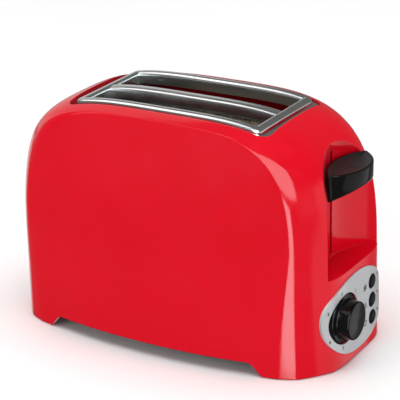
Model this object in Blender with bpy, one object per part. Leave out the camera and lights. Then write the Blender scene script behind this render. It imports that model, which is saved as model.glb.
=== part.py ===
"""Two-slice pop-up toaster with a gloss-red arched housing, built as separate named pieces.

Metres, +Z up, origin on the table under the middle of the toaster.
+X is the control end (lever, browning knob, buttons), -Y is the front.
"""
import math

import bmesh
import bpy
import numpy as np

# ---- housing form ---------------------------------------------------------------------------
HALF_LENGTH = 0.132          # middle to the end face at the shoulder of the arch
END_LEAN = 0.0010            # how much further out the end face stands at the table
SHOULDER_Z = 0.0432          # the arch starts to curve in above this height
CROWN_Z = 0.1784             # top of the arch
ARCH_POWER = 3.85            # superellipse power of the arch
BAND_HALF_TOP = 0.0543       # half width of the band that runs over the arch, at the top
BAND_HALF_END = 0.0481       # the same on the end faces
BAND_DROP_TOP = 0.0059       # crown of the band across its width, at the top
BAND_DROP_END = 0.0107       # the same on the end faces
CROWN_POWER_TOP = 2.2        # round crown across the top
CROWN_POWER_END = 5.0        # flatter crown across the end faces
PANEL_BULGE = 0.0212         # how far the front and rear panels bulge past the band
PANEL_PLAN_POWER = 2.15      # how square the panels are in plan
PANEL_RISE_POWER = 3.24      # how late the bulge fades out towards the top
WALL = 0.0025
HOLLOW_BOTTOM_Z = -0.004     # the hollow runs out through the open bottom
SMOOTH_DEG = 28
HOUSING_BOTTOM_Z = 0.0008
ARCH_STEPS = 18              # arch rows from the shoulder to the crown
ARCH_SAMPLES = 1200          # fine points the rows are picked from
TURN_WEIGHT = 0.06           # metres of arch that one radian of turning counts for
BAND_STEPS = 8
PANEL_STEPS = 16

# ---- cutters --------------------------------------------------------------------------------
WELD = 1e-5                  # vertices closer than this are merged after a cut
CUT_ABOVE = 0.03             # how far a cutter reaches past the crown
CUT_BELOW = 0.030            # how far the bread opening is cut down from the crown
SCOOP_CUT_Z = 0.21
RIGHT_CUT_X = (0.10, 0.16)   # reaches through the control end
LEFT_CUT_X = (-0.16, -0.11)  # reaches through the other end

# ---- bottom edge ----------------------------------------------------------------------------
FOOT_TIP_X = 0.093           # inner tip of each housing foot on the long sides
FOOT_RAMP = 0.014            # length of the curved ramp up to the raised edge
SIDE_EDGE_Z = 0.0105         # raised bottom edge of the long sides
NOTCH_DROP = 0.01            # the notch cutter reaches this far below the table

# ---- lever scoop ----------------------------------------------------------------------------
SCOOP_FLOOR_X = 0.1102
SCOOP_RADIUS = 0.0535
SCOOP_LEDGE_Z = 0.0708
SCOOP_STEPS = 23             # odd, so that the lever slot falls inside one facet
LEVER_SLOT_Z = (0.0730, 0.1506)
LEVER_SLOT_WIDTH = 0.0030
LEVER_SLOT_X = (0.09, 0.14)  # through the scoop wall

# ---- bread opening --------------------------------------------------------------------------
RIM_HALF_X = 0.0768
RIM_HALF_Y = 0.0410
RIM_CORNER = 0.006
RIM_WIDTH = 0.0072
RIM_HEIGHT = 0.0050
POCKET_DEPTH = 0.0062        # pocket floor below the crown line of the band
POCKET_END_MARGIN = 0.0062
POCKET_SIDE_MARGIN = 0.0022
POCKET_CORNER = 0.0085
FLANGE = 0.0008
RIM_LAP = 0.0040             # the rim covers this much of the housing round its opening
OPENING_CORNER = 0.005
FLANGE_LAP = 0.0030          # the flange reaches this far in under the bead
THROAT_CORNER = 0.0012
THROAT_DEPTH = 0.011
DIVIDER_HALF_Y = 0.0048
DIVIDER_DROP = 0.0018        # top of the divider below the crown line
DIVIDER_STATIONS = 15
RIM_LONG_STEPS = 10
RIM_CORNER_STEPS = 3
BITE = 0.0004                # overlap of pieces that are joined into one
GAP = 0.0003                 # clearance between touching pieces

# ---- lever and carriage ---------------------------------------------------------------------
LEVER_TOP_Z = 0.1440
LEVER_TIP = (0.1230, 0.0295)
LEVER_FRONT_X = 0.1390
LEVER_NOSE_HEIGHT = 0.0120
LEVER_SLOPE = 0.47           # how fast the underside falls towards the scoop floor
LEVER_CLEARANCE = 0.0014     # between the lever's back and the scoop wall
SOCKET_DEPTH = 0.0110        # the stem reaches this far past the scoop wall
CARRIAGE_X = (0.0955, 0.1005)
CARRIAGE_Z = (0.0700, 0.1330)
GUIDE_ROD_X = 0.0915
GUIDE_ROD_Z = (0.0155, 0.1600)
GUIDE_ROD_RADIUS = 0.0016
STEM_HALF_Y = 0.0008
STEM_Z = (0.1245, 0.1345)

# ---- toasting chamber -----------------------------------------------------------------------
CHAMBER_HALF_X = 0.080
CHAMBER_HALF_Y = 0.0405
CHAMBER_Z = (0.0250, 0.1560)
BREAD_Y = 0.01935            # middle of each bread slot
SHEET = 0.0008
CARD_Z = (0.0360, 0.1500)
CARD_HALF_X = 0.0745
CARD_Y = 0.0370
CARRIER_UP_Z = 0.0790
GUARD_Y = (0.0072, 0.0315)   # inner and outer guard planes of each slot
GUARD_Z = (0.0330, 0.1520)
GUARD_HALF_X = 0.0740
GUARD_BAR_REACH = 0.060
GUARD_BARS = 6
GUARD_WIRE = 0.0014
RIBBON_RUNS = 11
RIBBON_WIDTH = 0.0011
RIBBON_HALF_X = 0.068
RIBBON_MARGIN = 0.010        # from the ends of the card

# ---- base -----------------------------------------------------------------------------------
BASE_Z = (0.0120, 0.0145)
TRAY_Z = (0.0160, 0.0225)
TRAY_X = (-0.1260, 0.0850)
TRAY_HALF_Y = 0.0370
GRIP_HALF_Y = 0.0390
GRIP_Z = (0.0150, 0.0275)
GRIP_CORNER = 0.0015
GRIP_PROUD = 0.0004          # the grip stands this much proud of the end face
TRAY_MOUTH_X = (-0.15, -0.11)
BASE_MARGIN = 0.0005         # play between the base plate and the housing wall
VENT_HALF = (0.0025, 0.0300)
VENT_REACH = 0.060
VENT_COUNT = 5
FOOT_SPOT = (0.1000, 0.0440)
FOOT_RADIUS = 0.0075
SCREW_SPOT = (0.0840, 0.0480)

# ---- controls -------------------------------------------------------------------------------
KNOB_YZ = (-0.0219, 0.0368)
KNOB_SKIRT_RADIUS = 0.0183
KNOB_SKIRT_X = 0.1322
KNOB_CAP_RADIUS = 0.0141
KNOB_FACE_X = 0.1420
KNOB_HOLE_RADIUS = 0.0188
KNOB_BACK_X = 0.1235
KNOB_HUB_RADIUS = 0.0040
SHAFT_RADIUS = 0.0030
SHAFT_X = (0.1196, 0.1368)
SHAFT_BORE_X = (0.1200, 0.1372)
BUTTON_Y = 0.0202
BUTTON_Z = (0.0488, 0.0345, 0.0208)
BUTTON_RADIUS = 0.0053
BUTTON_HOLE_RADIUS = 0.0057
BUTTON_PROUD = 0.0016
BUTTON_BACK_X = 0.1182
BUTTON_STEM_RADIUS = 0.0018
BUTTON_FLANGE = 0.0008       # keeps the button from falling out of its hole
BUTTON_FLANGE_X = (0.1262, 0.1274)
FASCIA_CENTRE = (-0.0028, 0.0360)
FASCIA_HALF = (0.0425, 0.0298)
FASCIA_POWER = 2.2
FASCIA_SHEAR = 0.112         # the oval leans forward as it rises
FASCIA_STEPS = 48
FASCIA_THICKNESS = 0.0010
BOARD_X = (0.1100, 0.1116)
BOARD_Y = (-0.0400, 0.0300)
BOARD_Z = (0.0165, 0.0640)
GLAND_YZ = (0.0120, 0.0420)
GLAND_RADIUS = 0.0050
MAGNET_Y = 0.0150
MAGNET_TOP_Z = 0.0228
ARMATURE_Z = 0.0681
SPRING_XY = (0.0915, -0.0150)
SPRING_Z = (0.0826, 0.1540)
SPRING_RADIUS = 0.0032
SPRING_WIRE = 0.0005
SPRING_TURNS = 9
SPRING_STEPS = 9             # steps in each turn
SPRING_SIDES = 4
TOP_BRIDGE_Y = (-0.0200, 0.0060)
TOP_BRIDGE_Z = (0.1548, 0.1560)


# ---- helpers --------------------------------------------------------------------------------
def clear_scene():
    for old in list(bpy.data.objects):
        bpy.data.objects.remove(old, do_unlink=True)


def material(name, color, metallic=0.0, roughness=0.5):
    mat = bpy.data.materials.get(name)
    if mat is None:
        mat = bpy.data.materials.new(name)
        mat.use_nodes = True
        shader = mat.node_tree.nodes["Principled BSDF"]
        shader.inputs["Base Color"].default_value = (*color, 1.0)
        shader.inputs["Metallic"].default_value = metallic
        shader.inputs["Roughness"].default_value = roughness
        mat.diffuse_color = (*color, 1.0)
    return mat


def add_mesh(name, verts, faces, mat, smooth=None, origin=(0.0, 0.0, 0.0)):
    """A mesh object from world-space vertices, with consistent outward normals."""
    mesh = bpy.data.meshes.new(name)
    shifted = [tuple(float(c) - o for c, o in zip(v, origin)) for v in verts]
    mesh.from_pydata(shifted, [], [tuple(int(i) for i in f) for f in faces])
    body = bmesh.new()
    body.from_mesh(mesh)
    bmesh.ops.recalc_face_normals(body, faces=body.faces)
    body.to_mesh(mesh)
    body.free()
    mesh.materials.append(mat)
    obj = bpy.data.objects.new(name, mesh)
    obj.location = origin
    bpy.context.scene.collection.objects.link(obj)
    if smooth is not None:
        shade_smooth(obj, smooth)
    return obj


def shade_smooth(obj, angle_deg):
    """Smooth shading with the edges sharper than the angle kept sharp."""
    mesh = obj.data
    mesh.shade_smooth()
    mesh.set_sharp_from_angle(angle=math.radians(angle_deg))


def apply_boolean(obj, cutter, operation="DIFFERENCE"):
    """Bake one exact Boolean into the object's mesh and drop the cutter."""
    modifier = obj.modifiers.new("cut", "BOOLEAN")
    modifier.operation = operation
    modifier.solver = "EXACT"
    modifier.object = cutter
    graph = bpy.context.evaluated_depsgraph_get()
    mesh = bpy.data.meshes.new_from_object(obj.evaluated_get(graph))
    obj.modifiers.remove(modifier)
    old = obj.data
    mesh.name = old.name
    obj.data = mesh
    bpy.data.meshes.remove(old)
    bpy.data.objects.remove(cutter, do_unlink=True)


def tidy_mesh(obj):
    """Weld the slivers a Boolean leaves behind."""
    body = bmesh.new()
    body.from_mesh(obj.data)
    bmesh.ops.remove_doubles(body, verts=body.verts, dist=WELD)
    bmesh.ops.dissolve_degenerate(body, edges=body.edges, dist=WELD)
    bmesh.ops.recalc_face_normals(body, faces=body.faces)
    body.to_mesh(obj.data)
    body.free()


def loft(loops, close_ends=True):
    """Vertices and faces of a tube through loops that all have the same number of points."""
    count = len(loops[0])
    verts = [p for loop in loops for p in loop]
    faces = []
    for row in range(len(loops) - 1):
        for i in range(count):
            j = (i + 1) % count
            faces.append((row * count + i, row * count + j, (row + 1) * count + j, (row + 1) * count + i))
    if close_ends:
        faces.append(tuple(range(count))[::-1])
        faces.append(tuple((len(loops) - 1) * count + i for i in range(count)))
    return verts, faces


def ring_sweep(loops):
    """Vertices and faces of a closed ring through profile loops."""
    count = len(loops[0])
    verts = [p for loop in loops for p in loop]
    faces = []
    for row in range(len(loops)):
        nxt = (row + 1) % len(loops)
        for i in range(count):
            j = (i + 1) % count
            faces.append((row * count + i, row * count + j, nxt * count + j, nxt * count + i))
    return verts, faces


def box(name, low, high, mat):
    x, y, z = zip(low, high)
    loops = [[(x[0], y[0], c), (x[1], y[0], c), (x[1], y[1], c), (x[0], y[1], c)] for c in z]
    verts, faces = loft(loops)
    return add_mesh(name, verts, faces, mat)


AXES = {"X": (1, 2, 0), "Y": (2, 0, 1), "Z": (0, 1, 2)}


def turned(name, axis, centre, profile, mat, segments=32, smooth=30, origin=(0.0, 0.0, 0.0)):
    """A solid of revolution about a world axis: profile holds (radius, position) pairs."""
    first, second, along = AXES[axis]
    loops = []
    for radius, position in profile:
        loop = []
        for i in range(segments):
            angle = 2 * math.pi * i / segments
            point = [0.0, 0.0, 0.0]
            point[first] = centre[0] + radius * math.cos(angle)
            point[second] = centre[1] + radius * math.sin(angle)
            point[along] = position
            loop.append(tuple(point))
        loops.append(loop)
    verts, faces = loft(loops)
    return add_mesh(name, verts, faces, mat, smooth, origin)


def prism(name, outline, axis, span, mat):
    """A flat outline (pairs on the two axes after `axis`) pushed along that axis."""
    first, second, along = AXES[axis]
    loops = []
    for position in span:
        loop = []
        for a, b in outline:
            point = [0.0, 0.0, 0.0]
            point[first], point[second], point[along] = a, b, position
            loop.append(tuple(point))
        loops.append(loop)
    verts, faces = loft(loops)
    return add_mesh(name, verts, faces, mat)


def bent_prism(name, stations, mat):
    """A solid through stations along X: (x, half width in Y, low z, high z)."""
    loops = [[(x, -h, low), (x, h, low), (x, h, high), (x, -h, high)] for x, h, low, high in stations]
    verts, faces = loft(loops)
    return add_mesh(name, verts, faces, mat)


def cell_plate(name, first_cuts, second_cuts, is_solid, axis, span, mat):
    """A plate made of rectangular cells: is_solid(i, j) says which cells are filled."""
    first, second, along = AXES[axis]
    solid = {(i, j) for i in range(len(first_cuts) - 1) for j in range(len(second_cuts) - 1)
             if is_solid(i, j)}
    verts, index, faces = [], {}, []

    def corner(i, j, side):
        key = (i, j, side)
        if key not in index:
            point = [0.0, 0.0, 0.0]
            point[first], point[second], point[along] = first_cuts[i], second_cuts[j], span[side]
            index[key] = len(verts)
            verts.append(tuple(point))
        return index[key]

    for i, j in sorted(solid):
        faces.append([corner(i, j, 0), corner(i, j + 1, 0), corner(i + 1, j + 1, 0), corner(i + 1, j, 0)])
        faces.append([corner(i, j, 1), corner(i + 1, j, 1), corner(i + 1, j + 1, 1), corner(i, j + 1, 1)])
        for di, dj, a, b in ((-1, 0, (i, j), (i, j + 1)), (1, 0, (i + 1, j + 1), (i + 1, j)),
                             (0, -1, (i + 1, j), (i, j)), (0, 1, (i, j + 1), (i + 1, j + 1))):
            if (i + di, j + dj) not in solid:
                faces.append([corner(*a, 0), corner(*a, 1), corner(*b, 1), corner(*b, 0)])
    return add_mesh(name, verts, faces, mat)


def rounded_rect(half_a, half_b, radius, long_steps=1, corner_steps=4):
    """Counter-clockwise rounded rectangle, its straight long sides split into equal steps."""
    loop = []
    corners = ((1, 1, 0), (-1, 1, 90), (-1, -1, 180), (1, -1, 270))
    for sign_a, sign_b, start in corners:
        centre = (sign_a * (half_a - radius), sign_b * (half_b - radius))
        for step in range(corner_steps + 1):
            angle = math.radians(start + 90 * step / corner_steps)
            loop.append((centre[0] + radius * math.cos(angle), centre[1] + radius * math.sin(angle)))
        if start in (0, 180):
            run = 2 * (half_a - radius)
            for step in range(1, long_steps):
                loop.append((sign_a * (half_a - radius - run * step / long_steps), sign_b * half_b))
    return loop


# ---- the housing's surfaces -----------------------------------------------------------------
def arch_points(inset):
    """Right half of the arch from the table to the crown: x, z and outward normal rows."""
    half, crown = HALF_LENGTH - inset, CROWN_Z - SHOULDER_Z - inset
    angle = np.linspace(0.0, math.pi / 2, ARCH_SAMPLES)
    reach = ((np.cos(angle) / half) ** ARCH_POWER + (np.sin(angle) / crown) ** ARCH_POWER)
    reach = reach ** (-1 / ARCH_POWER)
    x, z = reach * np.cos(angle), SHOULDER_Z + reach * np.sin(angle)
    x[-1] = 0.0
    dx, dz = np.gradient(x), np.gradient(z)
    length = np.hypot(dx, dz)
    nx, nz = dz / length, -dx / length
    nx[0], nz[0], nx[-1], nz[-1] = 1.0, 0.0, 0.0, 1.0
    turning = np.abs(np.gradient(np.unwrap(np.arctan2(nz, nx))))
    measure = np.cumsum(length + TURN_WEIGHT * turning)
    wanted = np.linspace(measure[0], measure[-1], ARCH_STEPS + 1)
    curve = [np.interp(wanted, measure, values) for values in (x, z, nx, nz)]
    low = [np.array([half + END_LEAN, half + 0.5 * END_LEAN]), np.array([0.0, 0.5 * SHOULDER_Z]),
           np.ones(2), np.zeros(2)]
    return [np.concatenate(pair) for pair in zip(low, curve)]


def crown_height(x):
    """Height of the arch above a point x on the centre line."""
    part = 1 - (abs(x) / HALF_LENGTH) ** ARCH_POWER
    return SHOULDER_Z + (CROWN_Z - SHOULDER_Z) * max(part, 0.0) ** (1 / ARCH_POWER)


def end_reach(y, z):
    """X of the end face at a height z below the lever scoop."""
    lean = END_LEAN * max(0.0, 1 - z / SHOULDER_Z)
    rise = max(0.0, z - SHOULDER_Z) / (CROWN_Z - SHOULDER_Z)
    straight = HALF_LENGTH * (1 - rise ** ARCH_POWER) ** (1 / ARCH_POWER)
    return straight + lean - BAND_DROP_END * abs(y / BAND_HALF_END) ** CROWN_POWER_END


def band_row(x, z, nx, nz, inset):
    """Points across the band at one place on the arch, from the front crease to the rear."""
    half = BAND_HALF_TOP + (BAND_HALF_END - BAND_HALF_TOP) * nx - inset
    drop = BAND_DROP_TOP + (BAND_DROP_END - BAND_DROP_TOP) * nx
    power = CROWN_POWER_TOP + (CROWN_POWER_END - CROWN_POWER_TOP) * nx
    row = []
    for step in range(BAND_STEPS + 1):
        k = math.sin(math.pi / 2 * (2 * step / BAND_STEPS - 1))
        fall = drop * abs(k) ** power
        row.append((x - fall * nx, k * half, z - fall * nz))
    return row


def panel_row(crease_x, crease_z, crease_y, top_z, inset):
    """Points along the front panel at one height, from the right crease to the left one."""
    rise = 1 - (max(crease_z, 0.0) / top_z) ** PANEL_RISE_POWER
    middle = BAND_HALF_TOP - inset + PANEL_BULGE * rise
    row = []
    for step in range(1, PANEL_STEPS):
        s = math.cos(math.pi * step / PANEL_STEPS)
        swell = (1 - abs(s) ** PANEL_PLAN_POWER) ** (1 / PANEL_PLAN_POWER)
        row.append((crease_x * s, -(crease_y + (middle - crease_y) * swell), crease_z))
    return row


def hull_solid(name, inset, bottom_z, mat):
    """The closed arched form; the inner one is the same form moved in by the wall."""
    xs, zs, nxs, nzs = arch_points(inset)
    zs[0] = bottom_z
    count = len(xs)
    rows = [band_row(x, z, nx, nz, inset) for x, z, nx, nz in zip(xs, zs, nxs, nzs)]
    rows += [[(-x, y, z) for x, y, z in row] for row in rows[-2::-1]]
    verts, faces = [], []
    width = BAND_STEPS + 1
    for row in rows:
        verts += row
    for r in range(len(rows) - 1):
        for c in range(BAND_STEPS):
            a = r * width + c
            faces.append((a, a + 1, a + width + 1, a + width))
    last = len(rows) - 1
    top_z = rows[count - 1][0][2]
    bottom = {}
    for side, column in ((1, 0), (-1, BAND_STEPS)):
        lines = []
        for level in range(count - 1):
            x, y, z = rows[level][0]
            start = len(verts)
            verts += [(px, side * py, pz) for px, py, pz in panel_row(x, z, -y, top_z, inset)]
            right, left = level * width + column, (last - level) * width + column
            lines.append([right] + list(range(start, start + PANEL_STEPS - 1)) + [left])
        for low, high in zip(lines, lines[1:]):
            for c in range(PANEL_STEPS):
                faces.append((low[c], low[c + 1], high[c + 1], high[c]))
        apex = (count - 1) * width + column
        for c in range(PANEL_STEPS):
            faces.append((lines[-1][c], lines[-1][c + 1], apex))
        bottom[side] = lines[0]
    right_end = list(range(0, width))
    left_end = [last * width + c for c in range(width)]
    loop = right_end[:-1] + bottom[-1][:-1] + left_end[::-1][:-1] + bottom[1][::-1][:-1]
    faces.append(tuple(loop))
    return add_mesh(name, verts, faces, mat)


def plan_loop(z, inset):
    """Outline of the housing at a low height z, moved in by the inset."""
    x_end = HALF_LENGTH - inset + END_LEAN * max(0.0, 1 - z / SHOULDER_Z)
    right = band_row(x_end, z, 1.0, 0.0, inset)
    top_z = CROWN_Z - inset - BAND_DROP_TOP
    front = panel_row(right[0][0], z, -right[0][1], top_z, inset)
    rear = [(-x, -y) for x, y, _ in front]
    front = [(x, y) for x, y, _ in front]
    right_xy = [(x, y) for x, y, _ in right]
    left_xy = [(-x, -y) for x, y in right_xy]
    return right_xy + rear[::-1] + left_xy + front[::-1]


def scoop_outline(grow):
    """Plan outline of the lever scoop: the inner half of a circle, closed outside the housing."""
    centre = SCOOP_FLOOR_X + SCOOP_RADIUS
    radius = SCOOP_RADIUS + grow
    points = []
    for step in range(SCOOP_STEPS + 1):
        angle = math.radians(90 + 180 * step / SCOOP_STEPS)
        points.append((centre + radius * math.cos(angle), radius * math.sin(angle)))
    return points


def opening_stations(half_x, half_y, radius, low, high):
    """Stations of a rounded rectangle whose floor and roof follow the crown of the arch."""
    places = [half_x - radius * (1 - math.sin(math.radians(a))) for a in (90, 70, 45, 20, 0)]
    places += list(np.linspace(half_x - radius, 0.0, 7)[1:])
    places = sorted(set(round(float(p), 6) for p in places))
    places = [-p for p in places[:0:-1]] + places
    rows = []
    for x in places:
        into = max(0.0, abs(x) - (half_x - radius))
        half = half_y - radius + math.sqrt(max(radius ** 2 - into ** 2, 0.0))
        rows.append((x, half, crown_height(x) + low, crown_height(x) + high))
    return rows


def ramp_outline(tip, ramp, height):
    """Bottom notch between two feet: flat top with S-shaped ramps down to the tips."""
    right = []
    for part in (0.0, 0.2, 0.4, 0.6, 0.8, 1.0):
        right.append((tip - ramp * part, height * (0.5 - 0.5 * math.cos(math.pi * part))))
    right[0] = (tip, HOUSING_BOTTOM_Z)
    loop = [(tip, -NOTCH_DROP)] + right
    return loop + [(-a, b) for a, b in loop[::-1]]


def build_housing(mat):
    outer = hull_solid("housing", 0.0, HOUSING_BOTTOM_Z, mat)
    inner = hull_solid("hollow", WALL, HOLLOW_BOTTOM_Z, mat)
    pocket = (RIM_HALF_X + POCKET_END_MARGIN, RIM_HALF_Y + POCKET_SIDE_MARGIN, POCKET_CORNER)
    for target, grow in ((outer, 0.0), (inner, WALL)):
        apply_boolean(target, prism("scoop", scoop_outline(grow), "Z",
                                    (SCOOP_LEDGE_Z - grow, SCOOP_CUT_Z), mat))
        apply_boolean(target, bent_prism("pocket", opening_stations(
            pocket[0] + grow, pocket[1] + grow, pocket[2] + grow, -POCKET_DEPTH - grow, CUT_ABOVE), mat))
    apply_boolean(outer, inner)
    opening = (RIM_HALF_X - RIM_LAP, RIM_HALF_Y - RIM_LAP, OPENING_CORNER)
    apply_boolean(outer, bent_prism("opening", opening_stations(*opening, -CUT_BELOW, CUT_ABOVE), mat))
    # prism outlines on Y list (z, x) pairs, on X list (y, z) pairs
    notch = [(z, x) for x, z in ramp_outline(FOOT_TIP_X, FOOT_RAMP, SIDE_EDGE_Z)]
    apply_boolean(outer, prism("side_notch", notch, "Y", (-0.1, 0.1), mat))
    half = LEVER_SLOT_WIDTH / 2
    apply_boolean(outer, box("lever_slot", (LEVER_SLOT_X[0], -half, LEVER_SLOT_Z[0]),
                             (LEVER_SLOT_X[1], half, LEVER_SLOT_Z[1]), mat))
    apply_boolean(outer, box("tray_mouth", (TRAY_MOUTH_X[0], -GRIP_HALF_Y - GAP, GRIP_Z[0] - GAP),
                             (TRAY_MOUTH_X[1], GRIP_HALF_Y + GAP, GRIP_Z[1] + GAP), mat))
    for name, spot, radius in control_holes():
        apply_boolean(outer, turned(name, "X", spot, [(radius, x) for x in RIGHT_CUT_X], mat, 28))
    apply_boolean(outer, turned("gland_hole", "X", GLAND_YZ, [(GLAND_RADIUS + GAP, x) for x in LEFT_CUT_X],
                                mat, 24))
    tidy_mesh(outer)
    shade_smooth(outer, SMOOTH_DEG)


def control_holes():
    holes = [("knob_hole", KNOB_YZ, KNOB_HOLE_RADIUS)]
    return holes + [("button_hole", (BUTTON_Y, z), BUTTON_HOLE_RADIUS) for z in BUTTON_Z]


# ---- bread opening --------------------------------------------------------------------------
def build_slot_frame(mat):
    """Polished flange and rim bead with a throat, and a divider bar between the two slots."""
    floor = -POCKET_DEPTH + GAP
    in_wall = RIM_WIDTH - SHEET
    profile = [(0.0, 0.0), (0.0, 0.28), (0.13, 0.70), (0.33, 0.92), (0.53, 1.0), (0.74, 0.92),
               (0.91, 0.68), (1.0, 0.28)]
    profile = [(d * RIM_WIDTH, floor + h * RIM_HEIGHT) for d, h in profile]
    profile += [(RIM_WIDTH, -THROAT_DEPTH), (in_wall, -THROAT_DEPTH), (in_wall, floor)]
    loops = []
    shapes = [rounded_rect(RIM_HALF_X - d, RIM_HALF_Y - d, max(RIM_CORNER - d, THROAT_CORNER),
                           RIM_LONG_STEPS, RIM_CORNER_STEPS) for d, _ in profile]
    for i in range(len(shapes[0])):
        loop = []
        for (_, h), shape in zip(profile, shapes):
            x, y = shape[i]
            loop.append((x, y, crown_height(x) + h))
        loops.append(loop)
    verts, faces = ring_sweep(loops)
    frame = add_mesh("slot_frame", verts, faces, mat)
    reach = RIM_HALF_X - RIM_WIDTH + BITE
    stations = []
    for x in np.linspace(-reach, reach, DIVIDER_STATIONS):
        stations.append((float(x), DIVIDER_HALF_Y, crown_height(x) - THROAT_DEPTH,
                         crown_height(x) - DIVIDER_DROP))
    apply_boolean(frame, bent_prism("divider", stations, mat), "UNION")
    flange = bent_prism("flange", opening_stations(
        RIM_HALF_X + POCKET_END_MARGIN - GAP, RIM_HALF_Y + POCKET_SIDE_MARGIN - GAP, POCKET_CORNER - GAP,
        floor, floor + FLANGE), mat)
    apply_boolean(flange, bent_prism("mouth", opening_stations(
        RIM_HALF_X - FLANGE_LAP, RIM_HALF_Y - FLANGE_LAP, FLANGE_LAP, -CUT_BELOW, CUT_ABOVE), mat))
    apply_boolean(frame, flange, "UNION")
    tidy_mesh(frame)
    shade_smooth(frame, 35)


# ---- base -----------------------------------------------------------------------------------
def build_base(plastic, rubber, steel):
    plate = prism("base_plate", plan_loop(BASE_Z[0], WALL + BASE_MARGIN), "Z", BASE_Z, plastic)
    for x in np.linspace(-VENT_REACH, VENT_REACH, VENT_COUNT):
        apply_boolean(plate, box("vent", (x - VENT_HALF[0], -VENT_HALF[1], 0.0),
                                 (x + VENT_HALF[0], VENT_HALF[1], TRAY_Z[1]), plastic))
    for sx in (-1, 1):
        for sy in (-1, 1):
            side = ("left" if sx < 0 else "right") + ("_front" if sy < 0 else "_rear")
            spot = (sx * FOOT_SPOT[0], sy * FOOT_SPOT[1])
            turned("foot_" + side, "Z", spot, (
                (FOOT_RADIUS - 0.001, 0.0), (FOOT_RADIUS, 0.001), (FOOT_RADIUS, 0.0105),
                (FOOT_RADIUS - 0.001, BASE_Z[0] - GAP)), rubber, 24)
            spot = (sx * SCREW_SPOT[0], sy * SCREW_SPOT[1])
            apply_boolean(plate, turned("screw_hole", "Z", spot, ((0.0019, 0.0), (0.0019, 0.02)),
                                        plastic, 12))
            turned("screw_" + side, "Z", spot, (
                (0.0022, 0.0092), (0.0032, 0.0100), (0.0032, BASE_Z[0] - GAP),
                (0.0016, BASE_Z[0] - GAP), (0.0016, 0.0158), (0.0006, 0.0170)), steel, 12)
    tidy_mesh(plate)


def build_crumb_tray(steel, plastic):
    """Shallow open tray with its grip flush in the left end face."""
    low, high = TRAY_Z
    tray = box("crumb_tray", (TRAY_X[0], -TRAY_HALF_Y, low), (TRAY_X[1], TRAY_HALF_Y, high), steel)
    scoop = box("tray_hollow", (TRAY_X[0] + SHEET, -TRAY_HALF_Y + SHEET, low + SHEET),
                (TRAY_X[1] - SHEET, TRAY_HALF_Y - SHEET, high + 0.01), steel)
    apply_boolean(tray, scoop)
    middle_z, half_z = (GRIP_Z[0] + GRIP_Z[1]) / 2, (GRIP_Z[1] - GRIP_Z[0]) / 2
    outline = [(y, z + middle_z) for y, z in rounded_rect(GRIP_HALF_Y, half_z, GRIP_CORNER, 1, 2)]
    grip = prism("tray_grip", outline, "X", (TRAY_MOUTH_X[0], TRAY_X[0] - GAP), plastic)
    apply_boolean(grip, hull_solid("skin", -GRIP_PROUD, 0.0, plastic), "INTERSECT")
    tidy_mesh(grip)


# ---- controls -------------------------------------------------------------------------------
def fascia_outline():
    """Leaning rounded oval round the knob and the button column, as (y, z) pairs."""
    loop = []
    for step in range(FASCIA_STEPS):
        angle = 2 * math.pi * step / FASCIA_STEPS
        across, rise = (half * math.copysign(abs(part) ** (2 / FASCIA_POWER), part)
                        for half, part in zip(FASCIA_HALF, (math.cos(angle), math.sin(angle))))
        loop.append((FASCIA_CENTRE[0] + across - FASCIA_SHEAR * rise, FASCIA_CENTRE[1] + rise))
    return loop


def build_fascia(mat):
    """Thin silver panel that follows the crowned end face: a slice of the hull's own skin."""
    fascia = prism("control_fascia", fascia_outline(), "X", RIGHT_CUT_X, mat)
    apply_boolean(fascia, hull_solid("skin", -GAP - FASCIA_THICKNESS, 0.0, mat), "INTERSECT")
    apply_boolean(fascia, hull_solid("core", -GAP, -0.001, mat))
    for name, spot, radius in control_holes():
        apply_boolean(fascia, turned(name, "X", spot, [(radius, x) for x in RIGHT_CUT_X], mat, 32))
    tidy_mesh(fascia)
    shade_smooth(fascia, 30)


def build_knob(mat, metal):
    """Browning knob: wide skirt and drum on the potentiometer shaft."""
    y, z = KNOB_YZ
    edge = KNOB_SKIRT_X
    profile = ((KNOB_HUB_RADIUS, KNOB_BACK_X), (KNOB_SKIRT_RADIUS, KNOB_BACK_X),
               (KNOB_SKIRT_RADIUS, edge - 0.0009),
               (KNOB_SKIRT_RADIUS - 0.0010, edge), (KNOB_CAP_RADIUS + 0.0006, edge + 0.0003),
               (KNOB_CAP_RADIUS, edge + 0.0012), (KNOB_CAP_RADIUS - 0.0002, KNOB_FACE_X - 0.0014),
               (KNOB_CAP_RADIUS - 0.0014, KNOB_FACE_X))
    knob = turned("browning_knob", "X", (y, z), profile, mat, 48, 32, origin=(KNOB_BACK_X, y, z))
    apply_boolean(knob, turned("shaft_bore", "X", (y, z), [(SHAFT_RADIUS + GAP, x) for x in SHAFT_BORE_X],
                               mat, 20))
    tidy_mesh(knob)
    shade_smooth(knob, 32)
    turned("timer_shaft", "X", (y, z), [(SHAFT_RADIUS, x) for x in SHAFT_X], metal, 20, 32,
           origin=(KNOB_BACK_X, y, z))


def build_buttons(mat):
    for name, z in zip(("defrost", "reheat", "cancel"), BUTTON_Z):
        face = end_reach(BUTTON_Y, z) + BUTTON_PROUD
        flange, (flange_back, flange_front) = BUTTON_RADIUS + BUTTON_FLANGE, BUTTON_FLANGE_X
        turned("button_" + name, "X", (BUTTON_Y, z), (
            (BUTTON_STEM_RADIUS, BUTTON_BACK_X), (BUTTON_STEM_RADIUS, flange_back), (flange, flange_back),
            (flange, flange_front), (BUTTON_RADIUS, flange_front), (BUTTON_RADIUS, face),
            (BUTTON_RADIUS * 0.88, face + 0.0006), (BUTTON_RADIUS * 0.62, face + 0.0011),
            (BUTTON_RADIUS * 0.25, face + 0.0013)), mat, 22, 40, origin=(BUTTON_BACK_X, BUTTON_Y, z))


def lever_height(x):
    """Height of the lever's underside at x."""
    return LEVER_TOP_Z - LEVER_NOSE_HEIGHT - LEVER_SLOPE * (LEVER_FRONT_X - x)


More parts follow.
